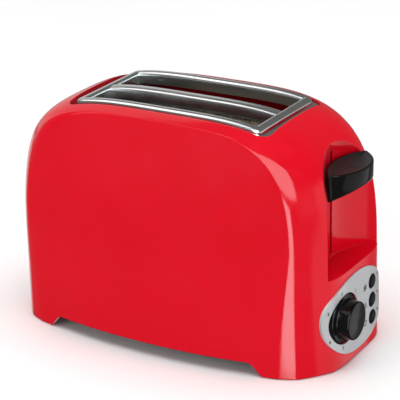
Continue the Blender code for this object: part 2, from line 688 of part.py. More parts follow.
def arc_through(tip, middle_x, steps):
    """Arc in plan from (tip x, -tip y) through (middle_x, 0) to (tip x, +tip y)."""
    depth = middle_x - tip[0]
    radius = (tip[1] ** 2 + depth ** 2) / (2 * abs(depth))
    centre = middle_x - math.copysign(radius, depth)
    reach = math.asin(tip[1] / radius)
    points = []
    for step in range(steps + 1):
        angle = reach * (2 * step / steps - 1)
        points.append((centre + math.copysign(radius * math.cos(angle), depth), radius * math.sin(angle)))
    return points


def build_lever(mat):
    """Lens-shaped paddle: its back follows the scoop, its underside slopes down to the slot."""
    back = arc_through(LEVER_TIP, SCOOP_FLOOR_X + LEVER_CLEARANCE, 12)
    front = arc_through(LEVER_TIP, LEVER_FRONT_X, 12)
    outline = front[1:-1] + [(LEVER_TIP[0] + 0.0012, LEVER_TIP[1] - 0.0004),
                             (LEVER_TIP[0] - 0.0010, LEVER_TIP[1] - 0.0006)]
    outline += back[::-1][1:-1] + [(LEVER_TIP[0] - 0.0010, -LEVER_TIP[1] + 0.0006),
                                   (LEVER_TIP[0] + 0.0012, -LEVER_TIP[1] + 0.0004)]
    middle = (sum(p[0] for p in outline) / len(outline), 0.0)

    def ring(scale, height):
        loop = []
        for x, y in outline:
            px, py = middle[0] + (x - middle[0]) * scale, y * scale
            loop.append((px, py, height(px)))
        return loop

    def top(drop):
        return lambda x: LEVER_TOP_Z - drop

    loops = [ring(0.93, lever_height), ring(0.985, lambda x: lever_height(x) + 0.0006),
             ring(1.0, lambda x: lever_height(x) + 0.0018), ring(1.0, top(0.0016)),
             ring(0.985, top(0.0005)), ring(0.95, top(0.0)), ring(0.80, top(0.0008))]
    verts, faces = loft(loops, close_ends=False)
    count = len(outline)
    for base, height in ((0, lever_height(middle[0])), ((len(loops) - 1) * count, LEVER_TOP_Z - 0.0012)):
        verts.append((middle[0], 0.0, height))
        tip = len(verts) - 1
        for i in range(count):
            faces.append((base + i, base + (i + 1) % count, tip))
    return add_mesh("lever_handle", verts, faces, mat, 40)


def build_carriage(steel, rod_steel):
    """Pressed slide with the stem to the lever, on the guide rod."""
    x0, x1 = CARRIAGE_X
    z0, z1 = CARRIAGE_Z
    cuts_y = [-0.0285, -0.0215, -0.006, 0.006, 0.0215, 0.0285]
    cuts_z = [z0, z0 + 0.012, z1 - 0.012, z1]

    def solid(i, j):
        return j == 0 or i == 2 or (j == 2 and i in (1, 2, 3))

    slide = cell_plate("carriage", cuts_y, cuts_z, solid, "X", (x0 + 0.0035, x1), steel)
    collar = turned("collar", "Z", (GUIDE_ROD_X, 0.0), ((0.0042, z0 + 0.002), (0.0042, z0 + 0.030)),
                    steel, 20)
    apply_boolean(slide, collar, "UNION")
    web = box("web", (GUIDE_ROD_X + 0.001, -0.0020, z0 + 0.004), (x1 - 0.001, 0.0020, z0 + 0.028), steel)
    apply_boolean(slide, web, "UNION")
    tab = box("spring_tab", (SPRING_XY[0] - 0.0030, SPRING_XY[1] - 0.0018, z0 + 0.0105),
              (x1 - 0.0005, SPRING_XY[1] + 0.0018, z0 + 0.0118), steel)
    apply_boolean(slide, tab, "UNION")
    stem = box("stem", (x1 - 0.001, -STEM_HALF_Y, STEM_Z[0]),
               (SCOOP_FLOOR_X + SOCKET_DEPTH, STEM_HALF_Y, STEM_Z[1]), steel)
    apply_boolean(slide, stem, "UNION")
    bore = turned("bore", "Z", (GUIDE_ROD_X, 0.0), ((GUIDE_ROD_RADIUS + GAP, z0 - 0.01),
                                                    (GUIDE_ROD_RADIUS + GAP, z1 + 0.01)), steel, 20)
    apply_boolean(slide, bore)
    tidy_mesh(slide)
    turned("guide_rod", "Z", (GUIDE_ROD_X, 0.0), ((GUIDE_ROD_RADIUS, GUIDE_ROD_Z[0]),
                                                  (GUIDE_ROD_RADIUS, GUIDE_ROD_Z[1])), rod_steel, 16, 40)


def cut_stem_pocket(lever, mat):
    """Socket in the lever's back that takes the carriage stem."""
    cut = box("socket", (0.10, -STEM_HALF_Y - GAP, STEM_Z[0] - GAP),
              (SCOOP_FLOOR_X + SOCKET_DEPTH + GAP, STEM_HALF_Y + GAP, STEM_Z[1] + GAP), mat)
    apply_boolean(lever, cut)
    tidy_mesh(lever)
    shade_smooth(lever, 40)


def build_spring(mat):
    """Extension spring between the carriage and the top hook plate."""
    low, high = SPRING_Z
    loops = []
    total = SPRING_TURNS * SPRING_STEPS
    for step in range(total + 1):
        angle = 2 * math.pi * step / SPRING_STEPS
        out = np.array([math.cos(angle), math.sin(angle), 0.0])
        centre = np.array([*SPRING_XY, low + (high - low) * step / total]) + SPRING_RADIUS * out
        along = np.array([-math.sin(angle) * SPRING_RADIUS, math.cos(angle) * SPRING_RADIUS,
                          (high - low) / (2 * math.pi * SPRING_TURNS)])
        along /= np.linalg.norm(along)
        up = np.cross(out, along)
        loops.append([tuple(centre + SPRING_WIRE * (math.cos(a) * out + math.sin(a) * up))
                      for a in np.linspace(0, 2 * math.pi, SPRING_SIDES, endpoint=False)])
    verts, faces = loft(loops)
    add_mesh("lift_spring", verts, faces, mat, 60)


# ---- toasting chamber -----------------------------------------------------------------------
def build_carriers(steel):
    """Bread carriers: a bar with cross teeth under each slice, with an ear to the carriage."""
    teeth = np.linspace(-0.066, 0.066, 7)
    cuts_x = [-0.0740]
    for x in teeth:
        cuts_x += [float(x) - 0.0012, float(x) + 0.0012]
    cuts_x += [0.0740, CARRIAGE_X[0] + 0.0032]
    for name, y in (("bread_carrier_front", -BREAD_Y), ("bread_carrier_rear", BREAD_Y)):
        cuts_y = [y - 0.0085, y - 0.0018, y + 0.0018, y + 0.0085]

        def solid(i, j):
            return j == 1 or (i % 2 == 1 and i < len(cuts_x) - 2)

        cell_plate(name, cuts_x, cuts_y, solid, "Z", (CARRIER_UP_Z, CARRIER_UP_Z + 0.0022), steel)


def build_chamber(steel, mica, nichrome, wire):
    low, high = CHAMBER_Z
    half_x, half_y = CHAMBER_HALF_X, CHAMBER_HALF_Y
    slot = 0.0030
    cuts_y = [-half_y, -BREAD_Y - slot, -BREAD_Y + slot, BREAD_Y - slot, BREAD_Y + slot, half_y]
    cuts_z = [low, 0.0300, 0.0880, high]

    def slotted(i, j):
        return not (j == 1 and i in (1, 3))

    cell_plate("chamber_plate_right", cuts_y, cuts_z, slotted, "X", (half_x, half_x + SHEET), steel)
    box("chamber_plate_left", (-half_x - SHEET, -half_y, low), (-half_x, half_y, high), steel)
    for name, side in (("heat_shield_front", -1), ("heat_shield_rear", 1)):
        y = sorted((side * (half_y + GAP), side * (half_y + GAP + SHEET)))
        cuts_x = [-half_x - SHEET, -0.050, -0.040, -0.005, 0.005, 0.040, 0.050, half_x + SHEET]
        cuts = [low - 0.003, 0.060, 0.120, high]

        # the cells of a plate along Y are counted along z, then along x
        cell_plate(name, cuts, cuts_x, lambda j, i: not (j == 1 and i in (1, 3, 5)), "Y", y, steel)
    for name, y in (("front", -CARD_Y), ("centre", 0.0), ("rear", CARD_Y)):
        box("heater_card_" + name, (-CARD_HALF_X, y - 0.0003, CARD_Z[0]),
            (CARD_HALF_X, y + 0.0003, CARD_Z[1]), mica)
        build_heater(name, y, nichrome)
    for slot_name, sign in (("front", -1), ("rear", 1)):
        for place, y in zip(("inner", "outer"), GUARD_Y):
            build_guard("guard_%s_%s" % (slot_name, place), sign * y, wire)


def build_heater(name, y, mat):
    """Heating ribbon laid in a meander on its card."""
    side = -1 if name == "rear" else 1
    face = sorted((y + side * 0.0005, y + side * 0.0009))
    runs, half_x, ribbon = RIBBON_RUNS, RIBBON_HALF_X, RIBBON_WIDTH
    low, high = CARD_Z[0] + RIBBON_MARGIN, CARD_Z[1] - RIBBON_MARGIN
    cuts_z = [low]
    pitch = (high - low - ribbon) / (runs - 1)
    for run in range(runs):
        start = low + run * pitch
        cuts_z += [start, start + ribbon]
    cuts_z = cuts_z[1:]
    cuts_x = [-half_x, -half_x + ribbon, half_x - ribbon, half_x]

    def solid(j, i):
        if j % 2 == 0:
            return True
        return i == (2 if (j // 2) % 2 == 0 else 0)

    cell_plate("heater_ribbon_" + name, cuts_z, cuts_x, solid, "Y", face, mat)


def build_guard(name, y, mat):
    """Wire guard that keeps the slice off the heating ribbon."""
    wire, (low, high) = GUARD_WIRE, GUARD_Z
    cuts_x = [-GUARD_HALF_X]
    for x in np.linspace(-GUARD_BAR_REACH, GUARD_BAR_REACH, GUARD_BARS):
        cuts_x += [float(x) - wire / 2, float(x) + wire / 2]
    cuts_x.append(GUARD_HALF_X)
    cuts_z = [low, low + wire, high - wire, high]

    def solid(j, i):
        return j in (0, 2) or i % 2 == 1

    cell_plate(name, cuts_z, cuts_x, solid, "Y", (y - wire / 2, y + wire / 2), mat)


# ---- electrics ------------------------------------------------------------------------------
def build_electrics(board_mat, black, steel, copper, brass, white):
    x0, x1 = BOARD_X
    box("circuit_board", (x0, BOARD_Y[0], BOARD_Z[0]), (x1, BOARD_Y[1], BOARD_Z[1]), board_mat)
    y, z = KNOB_YZ
    pot = turned("timer_body", "X", (y, z), ((0.0080, x1 + GAP), (0.0080, 0.1176), (0.0045, 0.1176),
                                             (0.0045, 0.1192)), steel, 24)
    apply_boolean(pot, turned("bush", "X", (y, z), ((0.0034, 0.1190), (0.0034, 0.1200)), steel, 20))
    for name, bz in zip(("defrost", "reheat", "cancel"), BUTTON_Z):
        box("switch_" + name, (x1 + GAP, BUTTON_Y - 0.0030, bz - 0.0030),
            (0.1152, BUTTON_Y + 0.0030, bz + 0.0030), black)
    # the holding magnet stands on the base under the armature
    my = MAGNET_Y
    core = [(-0.0080, 0.0158), (0.0080, 0.0158), (0.0080, MAGNET_TOP_Z), (0.0052, MAGNET_TOP_Z),
            (0.0052, 0.0190), (0.0018, 0.0190), (0.0018, MAGNET_TOP_Z), (-0.0018, MAGNET_TOP_Z),
            (-0.0018, 0.0190), (-0.0052, 0.0190), (-0.0052, MAGNET_TOP_Z), (-0.0080, MAGNET_TOP_Z)]
    prism("magnet_core", [(my + y, z) for y, z in core], "X", (0.0945, 0.1025), steel)
    coil = box("magnet_coil", (0.0912, my - 0.0049, 0.0194), (0.1058, my + 0.0049, MAGNET_TOP_Z - 0.0012),
               copper)
    apply_boolean(coil, box("coil_core", (0.0942, my - 0.0021, 0.0100), (0.1028, my + 0.0021, 0.0400),
                            copper))
    box("armature", (0.0945, my - 0.0085, ARMATURE_Z), (0.1025, my + 0.0085, ARMATURE_Z + 0.0016), steel)
    box("contact_block", (0.0900, -0.0390, 0.0152), (0.1040, -0.0300, 0.0250), white)
    for name, x in (("contact_blade_live", 0.0930), ("contact_blade_neutral", 0.1000)):
        box(name, (x, -0.0360, 0.0253), (x + 0.0012, -0.0330, 0.0310), brass)
    box("terminal_block", (-0.1180, 0.0180, 0.0400), (-0.1040, 0.0300, 0.0520), white)


def build_gland(mat):
    """Cord gland in the left end face; the cord itself is not part of the model."""
    y, z = GLAND_YZ
    wall = -end_reach(y, z)
    gland = turned("cord_gland", "X", (y, z), (
        (GLAND_RADIUS, wall + 0.0085), (GLAND_RADIUS, wall - GAP), (GLAND_RADIUS + 0.0016, wall - GAP),
        (GLAND_RADIUS + 0.0014, wall - 0.0010)), mat, 24)
    apply_boolean(gland, turned("cord_bore", "X", (y, z), ((0.0033, wall - 0.02), (0.0033, wall + 0.02)),
                                mat, 20))


def build_spring_hook(steel):
    """Small plate on the chamber's right plate that holds the guide rod and the spring."""
    x = CHAMBER_HALF_X + SHEET + GAP
    plate = box("top_bridge", (x, TOP_BRIDGE_Y[0], TOP_BRIDGE_Z[0]),
                (GUIDE_ROD_X + 0.0045, TOP_BRIDGE_Y[1], TOP_BRIDGE_Z[1]), steel)
    apply_boolean(plate, turned("rod_hole", "Z", (GUIDE_ROD_X, 0.0), (
        (GUIDE_ROD_RADIUS + GAP, TOP_BRIDGE_Z[0] - 0.005), (GUIDE_ROD_RADIUS + GAP, TOP_BRIDGE_Z[1] + 0.009)),
        steel, 16))


def centre_on_origin():
    """Move everything along X so that the origin is under the middle of the overall box."""
    reach = [obj.location.x + v.co.x for obj in bpy.data.objects for v in obj.data.vertices]
    middle = (min(reach) + max(reach)) / 2
    for obj in bpy.data.objects:
        obj.location.x -= middle


def main():
    clear_scene()
    red = material("housing_red", (0.62, 0.008, 0.016), 0.0, 0.18)
    chrome = material("polished_steel", (0.78, 0.78, 0.78), 1.0, 0.12)
    steel = material("sheet_steel", (0.55, 0.55, 0.54), 1.0, 0.35)
    rod_steel = material("rod_steel", (0.50, 0.50, 0.50), 1.0, 0.22)
    spring_steel = material("spring_steel", (0.42, 0.42, 0.43), 1.0, 0.3)
    black = material("black_plastic", (0.018, 0.017, 0.016), 0.0, 0.3)
    base_black = material("base_plastic", (0.03, 0.03, 0.03), 0.0, 0.6)
    rubber = material("rubber", (0.025, 0.025, 0.025), 0.0, 0.85)
    silver = material("silver_fascia", (0.58, 0.59, 0.60), 0.3, 0.38)
    mica = material("mica_card", (0.55, 0.47, 0.34), 0.0, 0.55)
    ribbon = material("heater_ribbon", (0.30, 0.27, 0.25), 1.0, 0.45)
    guard = material("guard_wire", (0.62, 0.61, 0.60), 1.0, 0.3)
    board = material("circuit_board", (0.10, 0.28, 0.12), 0.0, 0.5)
    copper = material("coil_copper", (0.55, 0.22, 0.09), 1.0, 0.35)
    brass = material("contact_brass", (0.65, 0.45, 0.18), 1.0, 0.3)
    white = material("white_ceramic", (0.78, 0.77, 0.73), 0.0, 0.45)

    build_housing(red)
    build_slot_frame(chrome)
    build_base(base_black, rubber, steel)
    build_crumb_tray(steel, black)
    build_fascia(silver)
    build_knob(black, rod_steel)
    build_buttons(black)
    lever = build_lever(black)
    build_carriage(steel, rod_steel)
    cut_stem_pocket(lever, black)
    build_spring(spring_steel)
    build_spring_hook(steel)
    build_carriers(guard)
    build_chamber(steel, mica, ribbon, guard)
    build_electrics(board, black, steel, copper, brass, white)
    build_gland(base_black)
    centre_on_origin()


main()
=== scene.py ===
"""Looks of the red pop-up toaster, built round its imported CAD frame."""
import math

import bmesh
import bpy
import numpy as np
from mathutils import Matrix, Vector
from mathutils.bvhtree import BVHTree


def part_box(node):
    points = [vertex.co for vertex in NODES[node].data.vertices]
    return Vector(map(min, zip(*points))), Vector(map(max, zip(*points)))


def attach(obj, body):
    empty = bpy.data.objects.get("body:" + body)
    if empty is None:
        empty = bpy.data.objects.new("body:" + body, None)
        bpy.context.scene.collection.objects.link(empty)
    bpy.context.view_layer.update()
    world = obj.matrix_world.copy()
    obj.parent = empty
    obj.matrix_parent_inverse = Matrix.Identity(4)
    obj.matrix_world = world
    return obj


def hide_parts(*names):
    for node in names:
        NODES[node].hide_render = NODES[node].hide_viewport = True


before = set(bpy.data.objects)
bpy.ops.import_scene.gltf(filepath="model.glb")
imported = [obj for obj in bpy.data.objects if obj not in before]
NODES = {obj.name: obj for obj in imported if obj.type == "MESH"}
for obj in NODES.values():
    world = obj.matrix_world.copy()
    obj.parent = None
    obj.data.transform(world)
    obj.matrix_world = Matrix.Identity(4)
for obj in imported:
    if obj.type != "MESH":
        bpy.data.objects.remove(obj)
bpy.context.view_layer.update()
HOUSING_LOW, HOUSING_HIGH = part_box("housing")
MID_X = (HOUSING_LOW.x + HOUSING_HIGH.x) / 2     # the shapes below are measured from the housing's middle

# ---- camera ---------------------------------------------------------------------------------
AZIMUTH, ELEVATION, ROLL = 31.38, 21.43, -1.57
CAMERA_DISTANCE = 1.2146
CAMERA_TARGET = (MID_X + 0.00274, 0.0, 0.09494)
CAMERA_LENS = 148.54


def make_camera():
    """The photo's view, turned by ROLL about the line of sight. Angles are in degrees, from the front."""
    azimuth, elevation, roll = (math.radians(v) for v in (AZIMUTH, ELEVATION, ROLL))
    back = Vector((math.sin(azimuth) * math.cos(elevation), -math.cos(azimuth) * math.cos(elevation),
                   math.sin(elevation)))
    right = Vector((math.cos(azimuth), math.sin(azimuth), 0.0))
    up = back.cross(right)
    side = math.cos(roll) * right + math.sin(roll) * up
    top = math.cos(roll) * up - math.sin(roll) * right
    place = Vector(CAMERA_TARGET) + back * CAMERA_DISTANCE
    camera = bpy.data.objects.new("camera", bpy.data.cameras.new("camera"))
    camera.data.lens = CAMERA_LENS
    camera.data.sensor_width = 36.0
    camera.data.clip_end = 100.0
    camera.matrix_world = Matrix(((side.x, top.x, back.x, place.x), (side.y, top.y, back.y, place.y),
                                  (side.z, top.z, back.z, place.z), (0.0, 0.0, 0.0, 1.0)))
    bpy.context.scene.collection.objects.link(camera)
    bpy.context.scene.camera = camera


# ---- housing form ---------------------------------------------------------------------------
HALF_LENGTH = 0.132
END_LEAN = 0.0010
SHOULDER_Z = 0.0432
CROWN_Z = 0.1784
ARCH_POWER = 3.85
BAND_HALF_TOP, BAND_HALF_END = 0.0543, 0.0481
BAND_DROP_TOP, BAND_DROP_END = 0.0059, 0.0107
CROWN_POWER_TOP, CROWN_POWER_END = 2.2, 5.0
PANEL_BULGE = 0.02118
PANEL_PLAN_POWER, PANEL_RISE_POWER = 2.15, 3.24
PANEL_FLATNESS = 0.63
EDGE_SHARE, EDGE_SHARE_LOW, EDGE_BEND_Z = 0.905, 0.815, 0.095    # the panel's edge line
WALL = 0.0025
HOUSING_BOTTOM_Z, HOLLOW_BOTTOM_Z = 0.0008, -0.004
FOOT_TIP_X, FOOT_RAMP, SIDE_EDGE_Z = 0.093, 0.014, 0.0105
GAP = 0.0003
SHEET = 0.0008
# the crease between the band and the side panels, rounded more towards the ends
SOFT_REACH_TOP, SOFT_REACH_END = 0.0026, 0.0140
SOFT_FULL_X, SOFT_START, SOFT_ROUNDS, SOFT_STEP = 0.066, 0.70, 50, 0.6
# mesh density
ARCH_SAMPLES = 6000
BEND_WEIGHT = 0.06           # metres of arch that one radian of bend counts for when points are spread
BAND_SPACING = 1.26          # angle that crowds the band's points towards its edges
END_ROWS = 6                 # rows of points below the shoulder
HULL_STEPS = (54, 34, 52)    # up the arch, across the band, along each panel
HOLLOW_STEPS = (18, 8, 16)

# ---- lever and scoop ------------------------------------------------------------------------
SCOOP_FLOOR_X, SCOOP_RADIUS, SCOOP_LEDGE_Z, SCOOP_STEPS = 0.1102, 0.0535, 0.0708, 71
LEVER_SLOT_Z, LEVER_SLOT_HALF = (0.0730, 0.1506), 0.0015
LEVER_TOP_Z, LEVER_TIP, LEVER_FRONT_X = 0.1440, (0.1230, 0.0295), 0.1390
LEVER_NOSE_HEIGHT, LEVER_SLOPE = 0.0120, 0.47
LEVER_BACK_GAP = 0.0014      # between the scoop's floor and the lever
LEVER_EDGE = 0.0011          # radius of its top edge
# points round each tip, along x and outwards from it
LEVER_TIP_ROUND = ((0.0012, -0.0004), (0.0002, -0.0002), (-0.0010, -0.0006))
LEVER_UNDER = ((0.0030, 0.0), (0.0014, 0.0001), (0.0005, 0.0006), (0.0, 0.0018))    # inset, lift
LEVER_ARC_STEPS, LEVER_EDGE_STEPS = 40, 7
PAD_INSET = 0.0017
PAD_RINGS = ((0.0024, 0.0003), (0.0036, 0.0007), (0.0060, 0.0011), (0.0090, 0.0014))   # inset, depth
PAD_DEPTH = 0.0016

# ---- slot rim -------------------------------------------------------------------------------
RIM_HALF_X, RIM_HALF_Y, RIM_CORNER, RIM_CORNER_INSIDE = 0.0768, 0.0410, 0.006, 0.0012
RIM_WIDTH, RIM_HEIGHT = 0.0072, 0.0050
RIM_SHOULDER, RIM_ROUND_POWER = 0.30, 0.85       # share of the bead that is upright, and its roundness
RIM_ARC_STEPS, RIM_LONG_STEPS, RIM_CORNER_STEPS = 18, 40, 8
POCKET_DEPTH, POCKET_END_MARGIN, POCKET_SIDE_MARGIN, POCKET_CORNER = 0.0062, 0.0062, 0.0022, 0.0085
OPENING_INSET, OPENING_CORNER, OPENING_DEPTH = 0.004, 0.005, 0.030
FLANGE_INSET, FLANGE_CORNER = 0.003, 0.003
THROAT_DEPTH = 0.011
DIVIDER_HALF_Y, DIVIDER_DROP, DIVIDER_ROUND, DIVIDER_TUCK = 0.0048, 0.0042, 0.0024, 0.0004
DIVIDER_STATIONS, DIVIDER_ARC = 45, 13

# ---- controls -------------------------------------------------------------------------------
KNOB_YZ = (-0.0219, 0.0368)
KNOB_HOLE_RADIUS, KNOB_SKIRT_RADIUS, KNOB_CAP_RADIUS, KNOB_BORE_RADIUS = 0.0188, 0.0183, 0.0141, 0.0040
KNOB_BACK_X, KNOB_SKIRT_X, KNOB_FACE_X = 0.1236, 0.1322, 0.1420
KNOB_CHAMFER, KNOB_SKIRT_ROUND, KNOB_FILLET, KNOB_CAP_ROUND = 0.0004, 0.0010, 0.0012, 0.0012
KNOB_SIDE_TOP, KNOB_FACE_INSET, KNOB_FACE_SEAT = 0.0030, 0.0014, 0.002
KNOB_DISH = ((0.0, 0.00005), (0.0006, 0.00025))      # near its edge: inset, depth
KNOB_DISH_MIDDLE = ((0.008, 0.00045), (0.0035, 0.00055), (0.0006, 0.00058))      # radius, depth
KNOB_SIDES = 96
BUTTON_Y, BUTTON_Z = 0.0202, (0.0488, 0.0345, 0.0208)
BUTTON_HOLE_RADIUS, BUTTON_RADIUS, BUTTON_PROUD = 0.0057, 0.0053, 0.0016
BUTTON_BACK_X, BUTTON_FLANGE_X, BUTTON_FLANGE = 0.1183, (0.1263, 0.1273), 0.0008
BUTTON_STEM_RADIUS, BUTTON_EDGE, BUTTON_DOME = 0.0018, 0.0006, 0.0018
BUTTON_SIDES = 48
FASCIA_CENTRE, FASCIA_HALF, FASCIA_POWER, FASCIA_SHEAR = (-0.0028, 0.0360), (0.0425, 0.0298), 2.2, 0.112
FASCIA_PROUD, FASCIA_SEAT, FASCIA_SIDES = 0.00085, 0.00009, 120
GLAND_YZ, GLAND_RADIUS = (0.0120, 0.0420), 0.0050
GRIP_HALF_Y, GRIP_Z = 0.0390, (0.0150, 0.0275)

# ---- how far the cutters reach, clear of the housing ----------------------------------------
CUT_RIGHT_X, CUT_LEFT_X = (0.10, 0.16), (-0.16, -0.11)
CUT_SLOT_X, CUT_TRAY_X = (0.09, 0.14), (-0.15, -0.11)
CUT_SIDE_Y, CUT_BELOW_Z = 0.1, -0.01
CUT_TOP_Z, CUT_OVER_CROWN = 0.21, 0.03
HOUSING_HOLE_SIDES, FASCIA_HOLE_SIDES, GLAND_HOLE_SIDES = 56, 72, 40


# ---- mesh helpers ---------------------------------------------------------------------------
def add_mesh(name, verts, faces, mat, smooth_deg=None):
    """A mesh object in the row frame from points given about the middle of the housing."""
    mesh = bpy.data.meshes.new(name)
    verts = [(float(x) + MID_X, float(y), float(z)) for x, y, z in verts]
    mesh.from_pydata(verts, [], [tuple(int(i) for i in f) for f in faces])
    body = bmesh.new()
    body.from_mesh(mesh)
    bmesh.ops.recalc_face_normals(body, faces=body.faces)
    body.to_mesh(mesh)
    body.free()
    mesh.materials.append(mat)
    obj = bpy.data.objects.new(name, mesh)
    bpy.context.scene.collection.objects.link(obj)
    if smooth_deg is not None:
        shade(obj, smooth_deg)
    return obj


def shade(obj, angle_deg):
    """Smooth faces, with a sharp edge wherever they meet at more than the angle."""
    obj.data.shade_smooth()
    obj.data.set_sharp_from_angle(angle=math.radians(angle_deg))


def boolean(obj, cutter, operation="DIFFERENCE"):
    """Applies the cutter to obj and removes the cutter."""
    modifier = obj.modifiers.new("cut", "BOOLEAN")
    modifier.operation = operation
    modifier.solver = "EXACT"
    modifier.object = cutter
    graph = bpy.context.evaluated_depsgraph_get()
    mesh = bpy.data.meshes.new_from_object(obj.evaluated_get(graph))
    obj.modifiers.remove(modifier)
    old = obj.data
    obj.data = mesh
    bpy.data.meshes.remove(old)
    bpy.data.objects.remove(cutter, do_unlink=True)


def tidy(obj, distance=1e-5):
    """Joins close points, drops slivers and closes the small holes that they leave."""
    body = bmesh.new()
    body.from_mesh(obj.data)
    bmesh.ops.remove_doubles(body, verts=body.verts, dist=distance)
    bmesh.ops.dissolve_degenerate(body, edges=body.edges, dist=distance)
    bmesh.ops.holes_fill(body, edges=[edge for edge in body.edges if edge.is_boundary], sides=6)
    bmesh.ops.recalc_face_normals(body, faces=body.faces)
    body.to_mesh(obj.data)
    body.free()


def loft(loops, capped=True):
    """Points and faces of a skin through closed loops of equal length."""
    count = len(loops[0])
    verts = [p for loop in loops for p in loop]
    faces = []
    for row in range(len(loops) - 1):
        for i in range(count):
            j = (i + 1) % count
            faces.append((row * count + i, row * count + j, (row + 1) * count + j, (row + 1) * count + i))
    if capped:
        faces.append(tuple(range(count))[::-1])
        faces.append(tuple((len(loops) - 1) * count + i for i in range(count)))
    return verts, faces


AXES = {"X": (1, 2, 0), "Y": (2, 0, 1), "Z": (0, 1, 2)}


def prism(name, outline, axis, span, mat):
    """An outline drawn out along one axis, from the first to the last position of span."""
    first, second, along = AXES[axis]
    loops = []
    for position in span:
        loop = []
        for a, b in outline:
            point = [0.0, 0.0, 0.0]
            point[first], point[second], point[along] = a, b, position
            loop.append(tuple(point))
        loops.append(loop)
    return add_mesh(name, *loft(loops), mat)


def turned(name, centre, profile, mat, segments, smooth_deg=None):
    """A solid of revolution about X: centre is (y, z), profile holds (radius, x) pairs."""
    loops = []
    for radius, x in profile:
        loop = []
        for i in range(segments):
            angle = 2 * math.pi * i / segments
            loop.append((x, centre[0] + radius * math.cos(angle), centre[1] + radius * math.sin(angle)))
        loops.append(loop)
    return add_mesh(name, *loft(loops), mat, smooth_deg)


def bent_prism(name, stations, mat):
    """A bar along X through stations of (x, half width, low z, high z)."""
    loops = [[(x, -h, low), (x, h, low), (x, h, high), (x, -h, high)] for x, h, low, high in stations]
    return add_mesh(name, *loft(loops), mat)


def box(name, low, high, mat):
    """A plain block between two corners."""
    loops = [[(low[0], low[1], z), (high[0], low[1], z), (high[0], high[1], z), (low[0], high[1], z)]
             for z in (low[2], high[2])]
    return add_mesh(name, *loft(loops), mat)


def rounded_rect(half_a, half_b, radius, long_steps, corner_steps):
    """Counter-clockwise rounded rectangle, all four sides split into steps."""
    loop = []
    corners = ((1, 1, 0), (-1, 1, 90), (-1, -1, 180), (1, -1, 270))
    for sign_a, sign_b, start in corners:
        centre = (sign_a * (half_a - radius), sign_b * (half_b - radius))
        for step in range(corner_steps + 1):
            angle = math.radians(start + 90 * step / corner_steps)
            loop.append((centre[0] + radius * math.cos(angle), centre[1] + radius * math.sin(angle)))
        if start in (0, 180):
            run = 2 * (half_a - radius)
            for step in range(1, long_steps):
                loop.append((sign_a * (half_a - radius - run * step / long_steps), sign_b * half_b))
    return loop


# ---- housing surfaces -----------------------------------------------------------------------
def arch_points(inset, steps):
    """Right half of the arch from the table to the crown: x, z and outward normal rows."""
    half, crown = HALF_LENGTH - inset, CROWN_Z - SHOULDER_Z - inset
    angle = np.linspace(0.0, math.pi / 2, ARCH_SAMPLES)
    reach = ((np.cos(angle) / half) ** ARCH_POWER + (np.sin(angle) / crown) ** ARCH_POWER)
    reach = reach ** (-1 / ARCH_POWER)
    x, z = reach * np.cos(angle), SHOULDER_Z + reach * np.sin(angle)
    x[-1] = 0.0
    dx, dz = np.gradient(x), np.gradient(z)
    length = np.hypot(dx, dz)
    nx, nz = dz / length, -dx / length
    nx[0], nz[0], nx[-1], nz[-1] = 1.0, 0.0, 0.0, 1.0
    turning = np.abs(np.gradient(np.unwrap(np.arctan2(nz, nx))))
    measure = np.cumsum(length + BEND_WEIGHT * turning)
    wanted = np.linspace(measure[0], measure[-1], steps + 1)
    curve = [np.interp(wanted, measure, values) for values in (x, z, nx, nz)]
    lows = np.linspace(0.0, 1.0, END_ROWS + 1)[:-1]
    low = [half + END_LEAN * (1 - lows), SHOULDER_Z * lows, np.ones(END_ROWS), np.zeros(END_ROWS)]
    return [np.concatenate(pair) for pair in zip(low, curve)]


def crown_height(x):
    """Z of the arch's top line at x."""
    part = 1 - (abs(x) / HALF_LENGTH) ** ARCH_POWER
    return SHOULDER_Z + (CROWN_Z - SHOULDER_Z) * max(part, 0.0) ** (1 / ARCH_POWER)


def end_reach(y, z):
    """X of the end face below the lever scoop."""
    lean = END_LEAN * max(0.0, 1 - z / SHOULDER_Z)
    rise = max(0.0, z - SHOULDER_Z) / (CROWN_Z - SHOULDER_Z)
    straight = HALF_LENGTH * (1 - rise ** ARCH_POWER) ** (1 / ARCH_POWER)
    return straight + lean - BAND_DROP_END * abs(y / BAND_HALF_END) ** CROWN_POWER_END


def panel_plan(z, steps):
    """Plan of the side panel at height z: a face with a slight edge, between two rounded strips."""
    edge = EDGE_SHARE_LOW + (EDGE_SHARE - EDGE_SHARE_LOW) * min(1.0, max(0.0, z) / EDGE_BEND_Z)
    level = 1 - PANEL_FLATNESS * edge ** PANEL_PLAN_POWER
    strip = steps // 6
    t = np.arange(1, strip + 1) / strip
    s_out = (1 - t) ** 2 + 2 * t * (1 - t) + t ** 2 * edge
    y_out = 2 * t * (1 - t) * level / 2 + t ** 2 * level
    s_in = edge * np.cos(math.pi * np.arange(1, steps - 2 * strip) / (steps - 2 * strip))
    y_in = 1 - PANEL_FLATNESS * np.abs(s_in) ** PANEL_PLAN_POWER
    return (np.concatenate([s_out, s_in, -s_out[::-1]]), np.concatenate([y_out, y_in, y_out[::-1]]))


